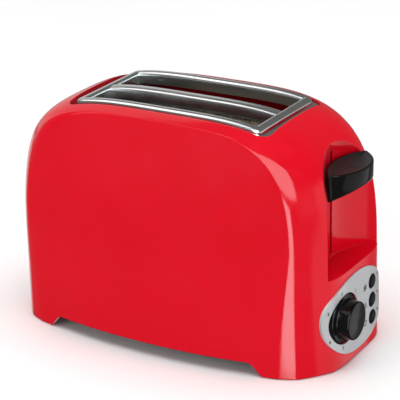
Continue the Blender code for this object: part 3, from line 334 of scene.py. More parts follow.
def hull(name, inset, bottom_z, mat, steps):
    """The closed arched form, and the points of its two creases, row by row."""
    arch_steps, band_steps, panel_steps = steps
    xs, zs, nxs, nzs = arch_points(inset, arch_steps)
    zs[0] = bottom_z
    count = len(xs)
    rows = []
    for x, z, nx, nz in zip(xs, zs, nxs, nzs):
        half = BAND_HALF_TOP + (BAND_HALF_END - BAND_HALF_TOP) * nx - inset
        drop = BAND_DROP_TOP + (BAND_DROP_END - BAND_DROP_TOP) * nx
        power = CROWN_POWER_TOP + (CROWN_POWER_END - CROWN_POWER_TOP) * nx
        k = np.sin(BAND_SPACING * (2 * np.arange(band_steps + 1) / band_steps - 1)) / math.sin(BAND_SPACING)
        fall = drop * np.abs(k) ** power
        rows.append(np.stack([x - fall * nx, k * half, z - fall * nz], 1))
    rows += [row * np.array([-1.0, 1.0, 1.0]) for row in rows[-2::-1]]
    verts = [tuple(p) for row in rows for p in row]
    width = band_steps + 1
    faces = []
    for r in range(len(rows) - 1):
        for c in range(band_steps):
            a = r * width + c
            faces.append((a, a + 1, a + width + 1, a + width))
    last = len(rows) - 1
    top_z = rows[count - 1][0][2]
    bottom = {}
    for side, column in ((1, 0), (-1, band_steps)):
        lines = []
        for level in range(count - 1):
            x, y, z = rows[level][0]
            rise = 1 - (max(z, 0.0) / top_z) ** PANEL_RISE_POWER
            middle = BAND_HALF_TOP - inset + PANEL_BULGE * rise
            s, swell = panel_plan(z, panel_steps)
            start = len(verts)
            verts += [(x * a, -side * (-y + (middle + y) * b), z) for a, b in zip(s, swell)]
            lines.append([level * width + column] + list(range(start, start + panel_steps - 1))
                         + [(last - level) * width + column])
        for low, high in zip(lines, lines[1:]):
            for c in range(panel_steps):
                faces.append((low[c], low[c + 1], high[c + 1], high[c]))
        apex = (count - 1) * width + column
        for c in range(panel_steps):
            faces.append((lines[-1][c], lines[-1][c + 1], apex))
        bottom[side] = lines[0]
    loop = list(range(0, width))[:-1] + bottom[-1][:-1]
    loop += [last * width + c for c in range(width)][::-1][:-1] + bottom[1][::-1][:-1]
    faces.append(tuple(loop))
    obj = add_mesh(name, verts, faces, mat)
    crease = [rows[r][c] for r in range(len(rows)) for c in (0, band_steps)]
    return obj, np.array(crease)


def soften_crease(obj, crease):
    """Rounds the line where the band meets the panels, and leaves the bottom edge at its height."""
    mesh = obj.data
    co = np.empty(len(mesh.vertices) * 3)
    mesh.vertices.foreach_get("co", co)
    co = co.reshape(-1, 3)
    ends = np.empty(len(mesh.edges) * 2, np.int32)
    mesh.edges.foreach_get("vertices", ends)
    ends = ends.reshape(-1, 2)
    lines = crease.reshape(-1, 2, 3)
    dense = []
    for side in (0, 1):
        path = lines[:, side] + np.array([MID_X, 0.0, 0.0])
        for a, b in zip(path, path[1:]):
            dense += [a + (b - a) * t for t in (0.0, 0.25, 0.5, 0.75)]
    dense = np.array(dense)
    near, along = np.empty(len(co)), np.empty(len(co))
    chunk = 2000
    for start in range(0, len(co), chunk):
        rows = slice(start, start + chunk)
        gap = np.sqrt(((co[rows][:, None] - dense[None]) ** 2).sum(2))
        near[rows] = gap.min(1)
        along[rows] = np.abs(dense[gap.argmin(1)][:, 0] - MID_X) / SOFT_FULL_X
    reach = SOFT_REACH_TOP + (SOFT_REACH_END - SOFT_REACH_TOP) * np.clip(along - SOFT_START, 0.0, 1.0) ** 2
    strength = np.clip(1 - near / reach, 0.0, 1.0)
    strength = strength * strength * (3 - 2 * strength)
    table = co[:, 2] < HOUSING_BOTTOM_Z + 1e-5
    table_z = co[table, 2].copy()
    length = np.linalg.norm(co[ends[:, 0]] - co[ends[:, 1]], axis=1)
    pull = 1 / np.maximum(length, 1e-4)
    total = np.zeros(len(co))
    np.add.at(total, ends[:, 0], pull)
    np.add.at(total, ends[:, 1], pull)
    for _ in range(SOFT_ROUNDS):
        mean = np.zeros_like(co)
        np.add.at(mean, ends[:, 0], co[ends[:, 1]] * pull[:, None])
        np.add.at(mean, ends[:, 1], co[ends[:, 0]] * pull[:, None])
        co += SOFT_STEP * strength[:, None] * (mean / total[:, None] - co)
        co[table, 2] = table_z
    mesh.vertices.foreach_set("co", co.ravel())
    mesh.update()


def soft_hull(name, inset, bottom_z, mat):
    """The arched form with its creases rounded."""
    obj, crease = hull(name, inset, bottom_z, mat, HULL_STEPS)
    soften_crease(obj, crease)
    return obj


def scoop_outline(grow):
    """Half circle in plan, open towards the control end."""
    centre, radius = SCOOP_FLOOR_X + SCOOP_RADIUS, SCOOP_RADIUS + grow
    return [(centre + radius * math.cos(a), radius * math.sin(a))
            for a in np.radians(np.linspace(90, 270, SCOOP_STEPS + 1))]


def opening_stations(half_x, half_y, radius, low, high):
    """Stations of a rounded rectangle that follows the crown, low and high measured from it."""
    places = [half_x - radius * (1 - math.sin(math.radians(a))) for a in range(0, 91, 9)]
    places += list(np.linspace(half_x - radius, 0.0, 25)[1:])
    places = sorted(set(round(float(p), 6) for p in places))
    places = [-p for p in places[:0:-1]] + places
    rows = []
    for x in places:
        into = max(0.0, abs(x) - (half_x - radius))
        half = half_y - radius + math.sqrt(max(radius ** 2 - into ** 2, 0.0))
        rows.append((x, half, crown_height(x) + low, crown_height(x) + high))
    return rows


def cut_round(obj, centre, radius, span, segments, mat):
    """Cuts a round hole along X: centre is (y, z)."""
    boolean(obj, turned("hole", centre, ((radius, span[0]), (radius, span[1])), mat, segments))


def cut_control_holes(obj, segments, mat):
    cut_round(obj, KNOB_YZ, KNOB_HOLE_RADIUS, CUT_RIGHT_X, segments, mat)
    for z in BUTTON_Z:
        cut_round(obj, (BUTTON_Y, z), BUTTON_HOLE_RADIUS, CUT_RIGHT_X, segments, mat)


def cut_scoop_and_pocket(obj, grow, mat):
    """The lever's scoop and the pocket under the slot rim, grown by the wall for the hollow."""
    boolean(obj, prism("scoop", scoop_outline(grow), "Z", (SCOOP_LEDGE_Z - grow, CUT_TOP_Z), mat))
    boolean(obj, bent_prism("pocket", opening_stations(
        RIM_HALF_X + POCKET_END_MARGIN + grow, RIM_HALF_Y + POCKET_SIDE_MARGIN + grow, POCKET_CORNER + grow,
        -POCKET_DEPTH - grow, CUT_OVER_CROWN), mat))


def build_housing(mat):
    """The arched shell with its scoop, slot opening, raised side edges and holes."""
    shell = soft_hull("housing_shell", 0.0, HOUSING_BOTTOM_Z, mat)
    hollow, _ = hull("hollow", WALL, HOLLOW_BOTTOM_Z, mat, HOLLOW_STEPS)
    cut_scoop_and_pocket(shell, 0.0, mat)
    cut_scoop_and_pocket(hollow, WALL, mat)
    boolean(shell, hollow)
    boolean(shell, bent_prism("opening", opening_stations(
        RIM_HALF_X - OPENING_INSET, RIM_HALF_Y - OPENING_INSET, OPENING_CORNER, -OPENING_DEPTH,
        CUT_OVER_CROWN), mat))
    ramp = [(FOOT_TIP_X - FOOT_RAMP * t, SIDE_EDGE_Z * (0.5 - 0.5 * math.cos(math.pi * t)))
            for t in np.linspace(0, 1, 17)]
    ramp[0] = (FOOT_TIP_X, HOUSING_BOTTOM_Z)
    right = [(FOOT_TIP_X, CUT_BELOW_Z)] + ramp
    notch = right + [(-a, b) for a, b in right[::-1]]
    boolean(shell, prism("side_notch", [(z, x) for x, z in notch], "Y", (-CUT_SIDE_Y, CUT_SIDE_Y), mat))
    boolean(shell, box("lever_slot", (CUT_SLOT_X[0], -LEVER_SLOT_HALF, LEVER_SLOT_Z[0]),
                       (CUT_SLOT_X[1], LEVER_SLOT_HALF, LEVER_SLOT_Z[1]), mat))
    boolean(shell, box("tray_mouth", (CUT_TRAY_X[0], -GRIP_HALF_Y - GAP, GRIP_Z[0] - GAP),
                       (CUT_TRAY_X[1], GRIP_HALF_Y + GAP, GRIP_Z[1] + GAP), mat))
    cut_control_holes(shell, HOUSING_HOLE_SIDES, mat)
    cut_round(shell, GLAND_YZ, GLAND_RADIUS + GAP, CUT_LEFT_X, GLAND_HOLE_SIDES, mat)
    tidy(shell)
    shade(shell, 32)
    return shell


def build_fascia(mat):
    """The silver panel: a leaning oval of the skin just outside the housing, with the control holes."""
    loop = []
    for step in range(FASCIA_SIDES):
        angle = 2 * math.pi * step / FASCIA_SIDES
        across, rise = (half * math.copysign(abs(part) ** (2 / FASCIA_POWER), part)
                        for half, part in zip(FASCIA_HALF, (math.cos(angle), math.sin(angle))))
        loop.append((FASCIA_CENTRE[0] + across - FASCIA_SHEAR * rise, FASCIA_CENTRE[1] + rise))
    fascia = prism("fascia_panel", loop, "X", CUT_RIGHT_X, mat)
    boolean(fascia, soft_hull("skin", -GAP - FASCIA_PROUD, 0.0, mat), "INTERSECT")
    boolean(fascia, soft_hull("core", -FASCIA_SEAT, -0.001, mat))
    cut_control_holes(fascia, FASCIA_HOLE_SIDES, mat)
    tidy(fascia)
    shade(fascia, 35)
    return fascia


# ---- bread opening --------------------------------------------------------------------------
def build_rim(mat):
    """Rolled bead, its inner throat, the flange it stands on and the bar between the slots."""
    floor = -POCKET_DEPTH + GAP
    profile = []
    for step in range(RIM_ARC_STEPS + 1):
        angle = math.pi * (1 - step / RIM_ARC_STEPS)
        rise = abs(math.sin(angle)) ** RIM_ROUND_POWER
        profile.append((0.5 + 0.5 * math.cos(angle), RIM_SHOULDER + (1 - RIM_SHOULDER) * rise))
    profile = [(0.0, 0.0)] + profile
    profile = [(d * RIM_WIDTH, floor + h * RIM_HEIGHT) for d, h in profile]
    inside = RIM_WIDTH - SHEET
    profile += [(RIM_WIDTH, -THROAT_DEPTH), (inside, -THROAT_DEPTH), (inside, floor)]
    shapes = [rounded_rect(RIM_HALF_X - d, RIM_HALF_Y - d, max(RIM_CORNER - d, RIM_CORNER_INSIDE),
                           RIM_LONG_STEPS, RIM_CORNER_STEPS) for d, _ in profile]
    loops = []
    for i in range(len(shapes[0])):
        loops.append([(shape[i][0], shape[i][1], crown_height(shape[i][0]) + h)
                      for (_, h), shape in zip(profile, shapes)])
    loops.append(loops[0])
    verts, faces = loft(loops, capped=False)
    rim = add_mesh("rim_bead", verts, faces, mat)
    tidy(rim)
    shade(rim, 40)
    flange = bent_prism("rim_flange", opening_stations(
        RIM_HALF_X + POCKET_END_MARGIN - GAP, RIM_HALF_Y + POCKET_SIDE_MARGIN - GAP, POCKET_CORNER - GAP,
        floor, floor + SHEET), mat)
    boolean(flange, bent_prism("mouth", opening_stations(
        RIM_HALF_X - FLANGE_INSET, RIM_HALF_Y - FLANGE_INSET, FLANGE_CORNER, -OPENING_DEPTH,
        CUT_OVER_CROWN), mat))
    tidy(flange)
    shade(flange, 35)
    reach = RIM_HALF_X - RIM_WIDTH + DIVIDER_TUCK
    loops = []
    for x in np.linspace(-reach, reach, DIVIDER_STATIONS):
        crown = crown_height(x)
        top = [(x, -DIVIDER_HALF_Y * math.cos(a), crown - DIVIDER_DROP + DIVIDER_ROUND * math.sin(a))
               for a in np.linspace(0.0, math.pi, DIVIDER_ARC)]
        loops.append([(x, -DIVIDER_HALF_Y, crown - THROAT_DEPTH)] + top
                     + [(x, DIVIDER_HALF_Y, crown - THROAT_DEPTH)])
    divider = add_mesh("slot_divider", *loft(loops), mat, 40)
    return rim, flange, divider


# ---- controls -------------------------------------------------------------------------------
def build_knob(side_mat, face_mat):
    """Browning knob: a flat skirt, a tall drum and a faintly dished cap face."""
    edge, face = KNOB_SKIRT_X, KNOB_FACE_X
    skirt, cap = KNOB_SKIRT_RADIUS, KNOB_CAP_RADIUS
    hair = 0.0001
    profile = [(KNOB_BORE_RADIUS, KNOB_BACK_X), (skirt - KNOB_CHAMFER, KNOB_BACK_X),
               (skirt, KNOB_BACK_X + KNOB_CHAMFER), (skirt, edge - KNOB_SKIRT_ROUND - hair)]
    profile += [(skirt - KNOB_SKIRT_ROUND + KNOB_SKIRT_ROUND * math.cos(a),
                 edge - KNOB_SKIRT_ROUND + KNOB_SKIRT_ROUND * math.sin(a))
                for a in np.linspace(0.15, math.pi / 2, 6)]
    profile += [(cap + KNOB_FILLET + 4 * hair, edge + hair)]
    profile += [(cap + KNOB_FILLET - KNOB_FILLET * math.sin(a),
                 edge + KNOB_FILLET + hair - KNOB_FILLET * math.cos(a))
                for a in np.linspace(0.2, math.pi / 2, 5)]
    profile += [(cap - hair, face - KNOB_SIDE_TOP)]
    profile += [(cap - KNOB_CAP_ROUND - hair + KNOB_CAP_ROUND * math.cos(a),
                 face - KNOB_CAP_ROUND + KNOB_CAP_ROUND * math.sin(a))
                for a in np.linspace(0.0, math.pi / 2, 7)]
    body = turned("knob_body", KNOB_YZ, profile, side_mat, KNOB_SIDES, 50)
    rim = cap - KNOB_FACE_INSET
    disc = [(rim, face - KNOB_FACE_SEAT)] + [(rim - inset, face - depth) for inset, depth in KNOB_DISH]
    disc += [(radius, face - depth) for radius, depth in KNOB_DISH_MIDDLE]
    top = turned("knob_face", KNOB_YZ, disc, face_mat, KNOB_SIDES, 40)
    return body, top


def build_buttons(mat):
    """Domed caps, each on a flange behind the housing and a stem."""
    pieces = []
    for name, z in zip(("defrost", "reheat", "cancel"), BUTTON_Z):
        base = end_reach(BUTTON_Y, z) + BUTTON_PROUD
        back, front = BUTTON_FLANGE_X
        flange = BUTTON_RADIUS + BUTTON_FLANGE
        profile = [(BUTTON_STEM_RADIUS, BUTTON_BACK_X), (BUTTON_STEM_RADIUS, back), (flange, back),
                   (flange, front), (BUTTON_RADIUS, front), (BUTTON_RADIUS, base - BUTTON_EDGE)]
        profile += [(BUTTON_RADIUS * math.cos(a), base - BUTTON_EDGE + BUTTON_DOME * math.sin(a))
                    for a in np.linspace(0.06, math.pi / 2 - 0.05, 12)]
        pieces.append((name, turned("button_cap_" + name, (BUTTON_Y, z), profile, mat,
                                    BUTTON_SIDES, 45)))
    return pieces


def arc_through(middle_x, steps):
    """Plan arc between the lever's two tips that crosses the middle at middle_x."""
    depth = middle_x - LEVER_TIP[0]
    radius = (LEVER_TIP[1] ** 2 + depth ** 2) / (2 * abs(depth))
    centre = middle_x - math.copysign(radius, depth)
    reach = math.asin(LEVER_TIP[1] / radius)
    return [(centre + math.copysign(radius * math.cos(a), depth), radius * math.sin(a))
            for a in reach * np.linspace(-1, 1, steps + 1)]


def build_lever(side_mat, top_mat):
    """Lens-shaped paddle with a sloping underside and a shallow dished thumb pad on top."""
    back = arc_through(SCOOP_FLOOR_X + LEVER_BACK_GAP, LEVER_ARC_STEPS)
    front = arc_through(LEVER_FRONT_X, LEVER_ARC_STEPS)
    x, y = LEVER_TIP
    outline = front[1:-1] + [(x + a, y + b) for a, b in LEVER_TIP_ROUND]
    outline += back[::-1][1:-1] + [(x + a, -y - b) for a, b in LEVER_TIP_ROUND[::-1]]
    middle = sum(p[0] for p in outline) / len(outline)
    bottom = LEVER_TOP_Z - LEVER_NOSE_HEIGHT

    def ring(inset, height):
        """The outline drawn in towards the middle, at the height that the function gives for each x."""
        loop = []
        for px, py in outline:
            away = math.hypot(px - middle, py)
            share = max(0.0, 1 - inset / away)
            qx, qy = middle + (px - middle) * share, py * share
            loop.append((qx, qy, height(qx)))
        return loop

    def under(lift):
        return lambda px: bottom - LEVER_SLOPE * (LEVER_FRONT_X - px) + lift

    loops = [ring(inset, under(lift)) for inset, lift in LEVER_UNDER]
    for angle in np.linspace(0.0, math.pi / 2, LEVER_EDGE_STEPS):
        loops.append(ring(LEVER_EDGE * (1 - math.cos(angle)),
                          lambda px, a=angle: LEVER_TOP_Z - LEVER_EDGE + LEVER_EDGE * math.sin(a)))
    loops.append(ring(PAD_INSET, lambda px: LEVER_TOP_Z - 0.0001))
    verts, faces = loft(loops, capped=False)
    faces.append(tuple(range(len(outline)))[::-1])
    side = add_mesh("lever_body", verts, faces, side_mat, 45)
    dish = [ring(PAD_INSET, lambda px: LEVER_TOP_Z - 0.00012)]
    for inset, drop in PAD_RINGS:
        dish.append(ring(inset, lambda px, d=drop: LEVER_TOP_Z - d))
    verts, faces = loft(dish, capped=False)
    count = len(outline)
    verts.append((middle, 0.0, LEVER_TOP_Z - PAD_DEPTH))
    start = (len(dish) - 1) * count
    for i in range(count):
        faces.append((start + i, start + (i + 1) % count, len(verts) - 1))
    top = add_mesh("lever_pad", verts, faces, top_mat, 60)
    return side, top


# ---- materials ------------------------------------------------------------------------------
def material(name, color, roughness, metallic=0.0, specular=0.5):
    """A Principled material, which the helpers below then vary."""
    mat = bpy.data.materials.new(name)
    mat.use_nodes = True
    shader = mat.node_tree.nodes["Principled BSDF"]
    shader.inputs["Base Color"].default_value = (*color, 1.0)
    shader.inputs["Roughness"].default_value = roughness
    shader.inputs["Metallic"].default_value = metallic
    shader.inputs["Specular IOR Level"].default_value = specular
    mat.diffuse_color = (*color, 1.0)
    return mat


def noise(mat, scale, detail=3.0, stretch=(1.0, 1.0, 1.0)):
    """Noise over the piece's own coordinates, longer along an axis where stretch is below 1."""
    tree = mat.node_tree
    coords = tree.nodes.new("ShaderNodeTexCoord")
    mapping = tree.nodes.new("ShaderNodeMapping")
    mapping.inputs["Scale"].default_value = stretch
    texture = tree.nodes.new("ShaderNodeTexNoise")
    texture.inputs["Scale"].default_value = scale
    texture.inputs["Detail"].default_value = detail
    tree.links.new(coords.outputs["Object"], mapping.inputs["Vector"])
    tree.links.new(mapping.outputs["Vector"], texture.inputs["Vector"])
    return texture.outputs["Fac"]


def ramp(mat, factor, stops):
    """A colour ramp: stops are (position, grey value or rgb)."""
    node = mat.node_tree.nodes.new("ShaderNodeValToRGB")
    mat.node_tree.links.new(factor, node.inputs["Fac"])
    elements = node.color_ramp.elements
    while len(elements) < len(stops):
        elements.new(0.5)
    for element, (position, value) in zip(elements, stops):
        element.position = position
        rgb = value if isinstance(value, tuple) else (value, value, value)
        element.color = (*rgb, 1.0)
    return node.outputs["Color"]


def paint(mat, factor, low, high, start=0.35, end=0.65):
    """Varies the base colour between two close tones."""
    shader = mat.node_tree.nodes["Principled BSDF"]
    mat.node_tree.links.new(ramp(mat, factor, ((start, low), (end, high))), shader.inputs["Base Color"])


def polish(mat, factor, low, high, start=0.35, end=0.7):
    """Varies the roughness."""
    shader = mat.node_tree.nodes["Principled BSDF"]
    mat.node_tree.links.new(ramp(mat, factor, ((start, low), (end, high))), shader.inputs["Roughness"])


def relief(mat, layers, bevel=None):
    """Bump layers (factor, depth in metres), over an optional softening of sharp edges."""
    tree = mat.node_tree
    shader = tree.nodes["Principled BSDF"]
    normal = None
    if bevel:
        node = tree.nodes.new("ShaderNodeBevel")
        node.samples = 6
        node.inputs["Radius"].default_value = bevel
        normal = node.outputs["Normal"]
    for factor, depth in layers:
        bump = tree.nodes.new("ShaderNodeBump")
        bump.inputs["Strength"].default_value = 1.0
        bump.inputs["Distance"].default_value = depth
        tree.links.new(factor, bump.inputs["Height"])
        if normal is not None:
            tree.links.new(normal, bump.inputs["Normal"])
        normal = bump.outputs["Normal"]
    if normal is not None:
        tree.links.new(normal, shader.inputs["Normal"])


def gloss_red():
    """Glossy moulded plastic with a faint orange peel."""
    mat = material("gloss_red", (0.665, 0.0012, 0.0125), 0.13, specular=0.36)
    paint(mat, noise(mat, 14.0, 4.0), (0.680, 0.0008, 0.0118), (0.700, 0.0014, 0.0144))
    polish(mat, noise(mat, 60.0, 5.0), 0.10, 0.16)
    relief(mat, [(noise(mat, 420.0, 2.0), 0.0000035), (noise(mat, 30.0, 1.0), 0.00002)], 0.0008)
    return mat


def polished_rim():
    """Polished steel, drawn along the toaster."""
    mat = material("polished_rim", (0.70, 0.70, 0.69), 0.22, metallic=1.0)
    paint(mat, noise(mat, 40.0, 4.0, (0.25, 1.0, 1.0)), (0.67, 0.67, 0.66), (0.73, 0.73, 0.72))
    polish(mat, noise(mat, 90.0, 5.0, (0.25, 1.0, 1.0)), 0.17, 0.28)
    relief(mat, [(noise(mat, 900.0, 2.0, (0.06, 1.0, 1.0)), 0.000004)], 0.0005)
    return mat


def gloss_black():
    """Black plastic of the knob and the lever."""
    mat = material("gloss_black", (0.0045, 0.0040, 0.0038), 0.12, specular=0.20)
    polish(mat, noise(mat, 160.0, 4.0), 0.09, 0.18)
    relief(mat, [(noise(mat, 700.0, 2.0), 0.000003)], 0.0004)
    return mat


def button_black():
    """Darker and smoother black of the small buttons."""
    mat = material("button_black", (0.0040, 0.0038, 0.0037), 0.12, specular=0.10)
    polish(mat, noise(mat, 200.0, 4.0), 0.09, 0.18)
    relief(mat, [(noise(mat, 700.0, 2.0), 0.000002)])
    return mat


def satin_black():
    """Finely textured black of the knob's face, thumb pad and tray grip."""
    mat = material("satin_black", (0.011, 0.0105, 0.010), 0.38, specular=0.22)
    polish(mat, noise(mat, 300.0, 4.0), 0.34, 0.50)
    relief(mat, [(noise(mat, 2600.0, 3.0), 0.000012)], 0.0004)
    return mat


def silver_panel():
    """Fine metallic paint."""
    mat = material("silver_panel", (0.56, 0.565, 0.57), 0.38, metallic=0.55)
    paint(mat, noise(mat, 2400.0, 2.0), (0.54, 0.55, 0.56), (0.66, 0.67, 0.68))
    polish(mat, noise(mat, 120.0, 3.0), 0.33, 0.45)
    relief(mat, [(noise(mat, 1700.0, 3.0, (1.0, 0.4, 1.0)), 0.000008)])
    return mat


def moulded_black():
    """Matt moulded plastic of the base."""
    mat = material("moulded_black", (0.022, 0.022, 0.022), 0.55)
    polish(mat, noise(mat, 240.0, 4.0), 0.46, 0.64)
    relief(mat, [(noise(mat, 1500.0, 3.0), 0.00003)], 0.0004)
    return mat


def foot_rubber():
    """Soft matt rubber."""
    mat = material("foot_rubber", (0.018, 0.018, 0.018), 0.82, specular=0.3)
    relief(mat, [(noise(mat, 1100.0, 4.0), 0.00004)], 0.0004)
    return mat


def rolled_sheet():
    """Rolled steel sheet with its lines along the toaster."""
    mat = material("rolled_sheet", (0.52, 0.52, 0.51), 0.34, metallic=1.0)
    paint(mat, noise(mat, 22.0, 5.0), (0.44, 0.43, 0.41), (0.56, 0.56, 0.55))
    polish(mat, noise(mat, 420.0, 3.0, (0.05, 1.0, 1.0)), 0.26, 0.46)
    relief(mat, [(noise(mat, 1100.0, 2.0, (0.04, 1.0, 1.0)), 0.000006)], 0.0002)
    return mat


def bright_wire():
    """Bright wire with heat stains."""
    mat = material("bright_wire", (0.58, 0.57, 0.56), 0.28, metallic=1.0)
    paint(mat, noise(mat, 60.0, 4.0), (0.42, 0.38, 0.33), (0.62, 0.61, 0.60))
    polish(mat, noise(mat, 500.0, 3.0), 0.20, 0.40)
    return mat


def mica_sheet():
    """Flaky pale mica."""
    mat = material("mica_sheet", (0.50, 0.42, 0.30), 0.5)
    paint(mat, noise(mat, 130.0, 6.0), (0.34, 0.27, 0.18), (0.58, 0.50, 0.37))
    relief(mat, [(noise(mat, 600.0, 4.0), 0.00004)])
    return mat


def dark_ribbon():
    """Oxidised resistance ribbon."""
    mat = material("dark_ribbon", (0.17, 0.14, 0.12), 0.45, metallic=0.9)
    paint(mat, noise(mat, 200.0, 3.0), (0.11, 0.09, 0.08), (0.24, 0.20, 0.17))
    return mat


def board_mask():
    """Green solder mask."""
    mat = material("board_mask", (0.06, 0.20, 0.08), 0.4)
    paint(mat, noise(mat, 500.0, 2.0), (0.05, 0.17, 0.065), (0.075, 0.23, 0.09))
    return mat


def enamelled_copper():
    """Wound enamelled wire: the relief draws the turns."""
    mat = material("enamelled_copper", (0.50, 0.19, 0.07), 0.3, metallic=0.9)
    relief(mat, [(noise(mat, 2200.0, 1.0, (1.0, 1.0, 0.05)), 0.00008)])
    return mat


def strip_brass():
    """Spring strip."""
    mat = material("strip_brass", (0.60, 0.42, 0.17), 0.3, metallic=1.0)
    polish(mat, noise(mat, 300.0, 3.0), 0.22, 0.42)
    return mat


def pale_moulding():
    """Off-white heatproof moulding."""
    mat = material("pale_moulding", (0.72, 0.71, 0.67), 0.5)
    paint(mat, noise(mat, 90.0, 3.0), (0.67, 0.66, 0.61), (0.76, 0.75, 0.71))
    return mat


def panel_ink():
    """Print on the silver panel."""
    mat = material("panel_ink", (0.018, 0.017, 0.017), 0.5, specular=0.2)
    polish(mat, noise(mat, 900.0, 2.0), 0.42, 0.58)
    return mat


def lamp_red():
    """Dim red lamp lenses."""
    mat = material("lamp_red", (0.20, 0.02, 0.03), 0.3)
    polish(mat, noise(mat, 900.0, 2.0), 0.22, 0.38)
    return mat


MATERIALS = {
    "red": gloss_red, "rim": polished_rim, "black": gloss_black, "cap": button_black,
    "satin": satin_black, "silver": silver_panel, "base": moulded_black, "rubber": foot_rubber,
    "sheet": rolled_sheet, "wire": bright_wire, "mica": mica_sheet, "ribbon": dark_ribbon,
    "board": board_mask, "copper": enamelled_copper, "brass": strip_brass, "white": pale_moulding,
    "ink": panel_ink, "lamp": lamp_red,
}

# CAD nodes that keep their own meshes, by material
CARRIED = {
    "sheet": ["carriage", "armature", "chamber_plate_left", "chamber_plate_right", "heat_shield_front",
              "heat_shield_rear", "crumb_tray", "magnet_core", "timer_body", "top_bridge",
              "screw_left_front", "screw_left_rear", "screw_right_front", "screw_right_rear"],
    "wire": ["bread_carrier_front", "bread_carrier_rear", "guard_front_inner", "guard_front_outer",
             "guard_rear_inner", "guard_rear_outer", "guide_rod", "timer_shaft", "lift_spring"],
    "mica": ["heater_card_front", "heater_card_centre", "heater_card_rear"],
    "ribbon": ["heater_ribbon_front", "heater_ribbon_centre", "heater_ribbon_rear"],
    "base": ["base_plate", "cord_gland", "switch_defrost", "switch_reheat", "switch_cancel"],
    "satin": ["tray_grip"],
    "rubber": ["foot_left_front", "foot_left_rear", "foot_right_front", "foot_right_rear"],
    "board": ["circuit_board"],
    "copper": ["magnet_coil"],
    "brass": ["contact_blade_live", "contact_blade_neutral"],
    "white": ["contact_block", "terminal_block"],
}


# ---- printed marks --------------------------------------------------------------------------
PRINT_LIFT = 0.00014         # of the ink over the panel
DIAL_RADIUS = 0.0215
DIAL_ANGLES = (47.0, 105.0, 152.0, 213.0, 258.0, 309.0)
DIGIT_CELL, DIGIT_LINE = 0.00052, 0.00056
SYMBOL_Y, SYMBOL_DROPS = 0.0085, (0.0008, 0.0006, 0.0004)
SYMBOL_LINE, STEM_LINE = 0.00054, 0.00045
FLAKE_ARM, FLAKE_LINE = 0.0026, 0.00062
BARB_ROOT, BARB_REACH, BARB_ANGLE, BARB_LINE = 0.0015, 0.0010, 0.6, 0.0005
WAVE_PITCH, WAVE_SWING, WAVE_HALF = 0.0016, 0.0005, 0.0022
RING_RADIUS, RING_FROM, RING_TO = 0.0021, 120, 420
STEM_Z = (0.0004, 0.0028)
LAMP_Y, LAMP_RISE, LAMP_RADIUS = 0.0305, 0.0022, 0.0012


def flat_mark(name, polygons, panel, mat):
    """Thin ink shapes laid on the fascia: polygons of (y, z) points."""
    verts, faces = [], []
    for polygon in polygons:
        start = len(verts)
        for y, z in polygon:
            spot = panel.ray_cast(Vector((1.0, y, z)), Vector((-1.0, 0.0, 0.0)))[0]
            verts.append((spot.x + PRINT_LIFT, y, z))
        faces.append(tuple(range(start, start + len(polygon))))
    mesh = bpy.data.meshes.new(name)
    mesh.from_pydata(verts, [], faces)
    mesh.materials.append(mat)
    obj = bpy.data.objects.new(name, mesh)
    bpy.context.scene.collection.objects.link(obj)
    return obj


def stroke(points, width):
    """Quads along a line of (y, z) points."""
    quads = []
    for (y0, z0), (y1, z1) in zip(points, points[1:]):
        length = math.hypot(y1 - y0, z1 - z0)
        oy, oz = -(z1 - z0) / length * width / 2, (y1 - y0) / length * width / 2
        quads.append([(y0 - oy, z0 - oz), (y1 - oy, z1 - oz), (y1 + oy, z1 + oz), (y0 + oy, z0 + oz)])
    return quads


def arc(cy, cz, radius, start, end, steps):
    """Points of (y, z) along an arc, from start to end in degrees."""
    return [(cy + radius * math.cos(a), cz + radius * math.sin(a))
            for a in np.radians(np.linspace(start, end, steps + 1))]


# the digits' strokes, on a grid of 2 x 4 cells
DIGITS = {
    "1": [[(0.4, 3.2), (1.1, 4.0), (1.1, 0.0)]],
    "2": [[(0.0, 3.2), (0.5, 3.9), (1.4, 3.9), (1.9, 3.2), (1.8, 2.4), (0.0, 0.0), (2.0, 0.0)]],
    "3": [[(0.0, 3.5), (0.7, 4.0), (1.5, 3.8), (1.8, 3.1), (1.2, 2.2), (0.7, 2.1)],
          [(1.2, 2.2), (1.9, 1.5), (1.8, 0.5), (1.1, 0.0), (0.4, 0.1), (0.0, 0.5)]],
    "4": [[(1.5, 0.0), (1.5, 4.0), (0.0, 1.3), (2.0, 1.3)]],
    "5": [[(1.9, 4.0), (0.3, 4.0), (0.1, 2.3), (1.0, 2.6), (1.8, 2.1), (1.9, 1.0), (1.3, 0.1), (0.4, 0.0),
           (0.0, 0.4)]],
    "6": [[(1.7, 3.8), (0.9, 3.6), (0.2, 2.4), (0.0, 1.2), (0.4, 0.2), (1.2, 0.0), (1.9, 0.7), (1.8, 1.7),
           (1.1, 2.2), (0.3, 1.8)]],
}


def dial_strokes():
    """The numbers round the knob."""
    quads = []
    for digit, angle in zip("123456", DIAL_ANGLES):
        cy = KNOB_YZ[0] + DIAL_RADIUS * math.cos(math.radians(angle))
        cz = KNOB_YZ[1] + DIAL_RADIUS * math.sin(math.radians(angle))
        for line in DIGITS[digit]:
            points = [(cy + (a - 1.0) * DIGIT_CELL, cz + (b - 2.0) * DIGIT_CELL) for a, b in line]
            quads += stroke(points, DIGIT_LINE)
    return quads


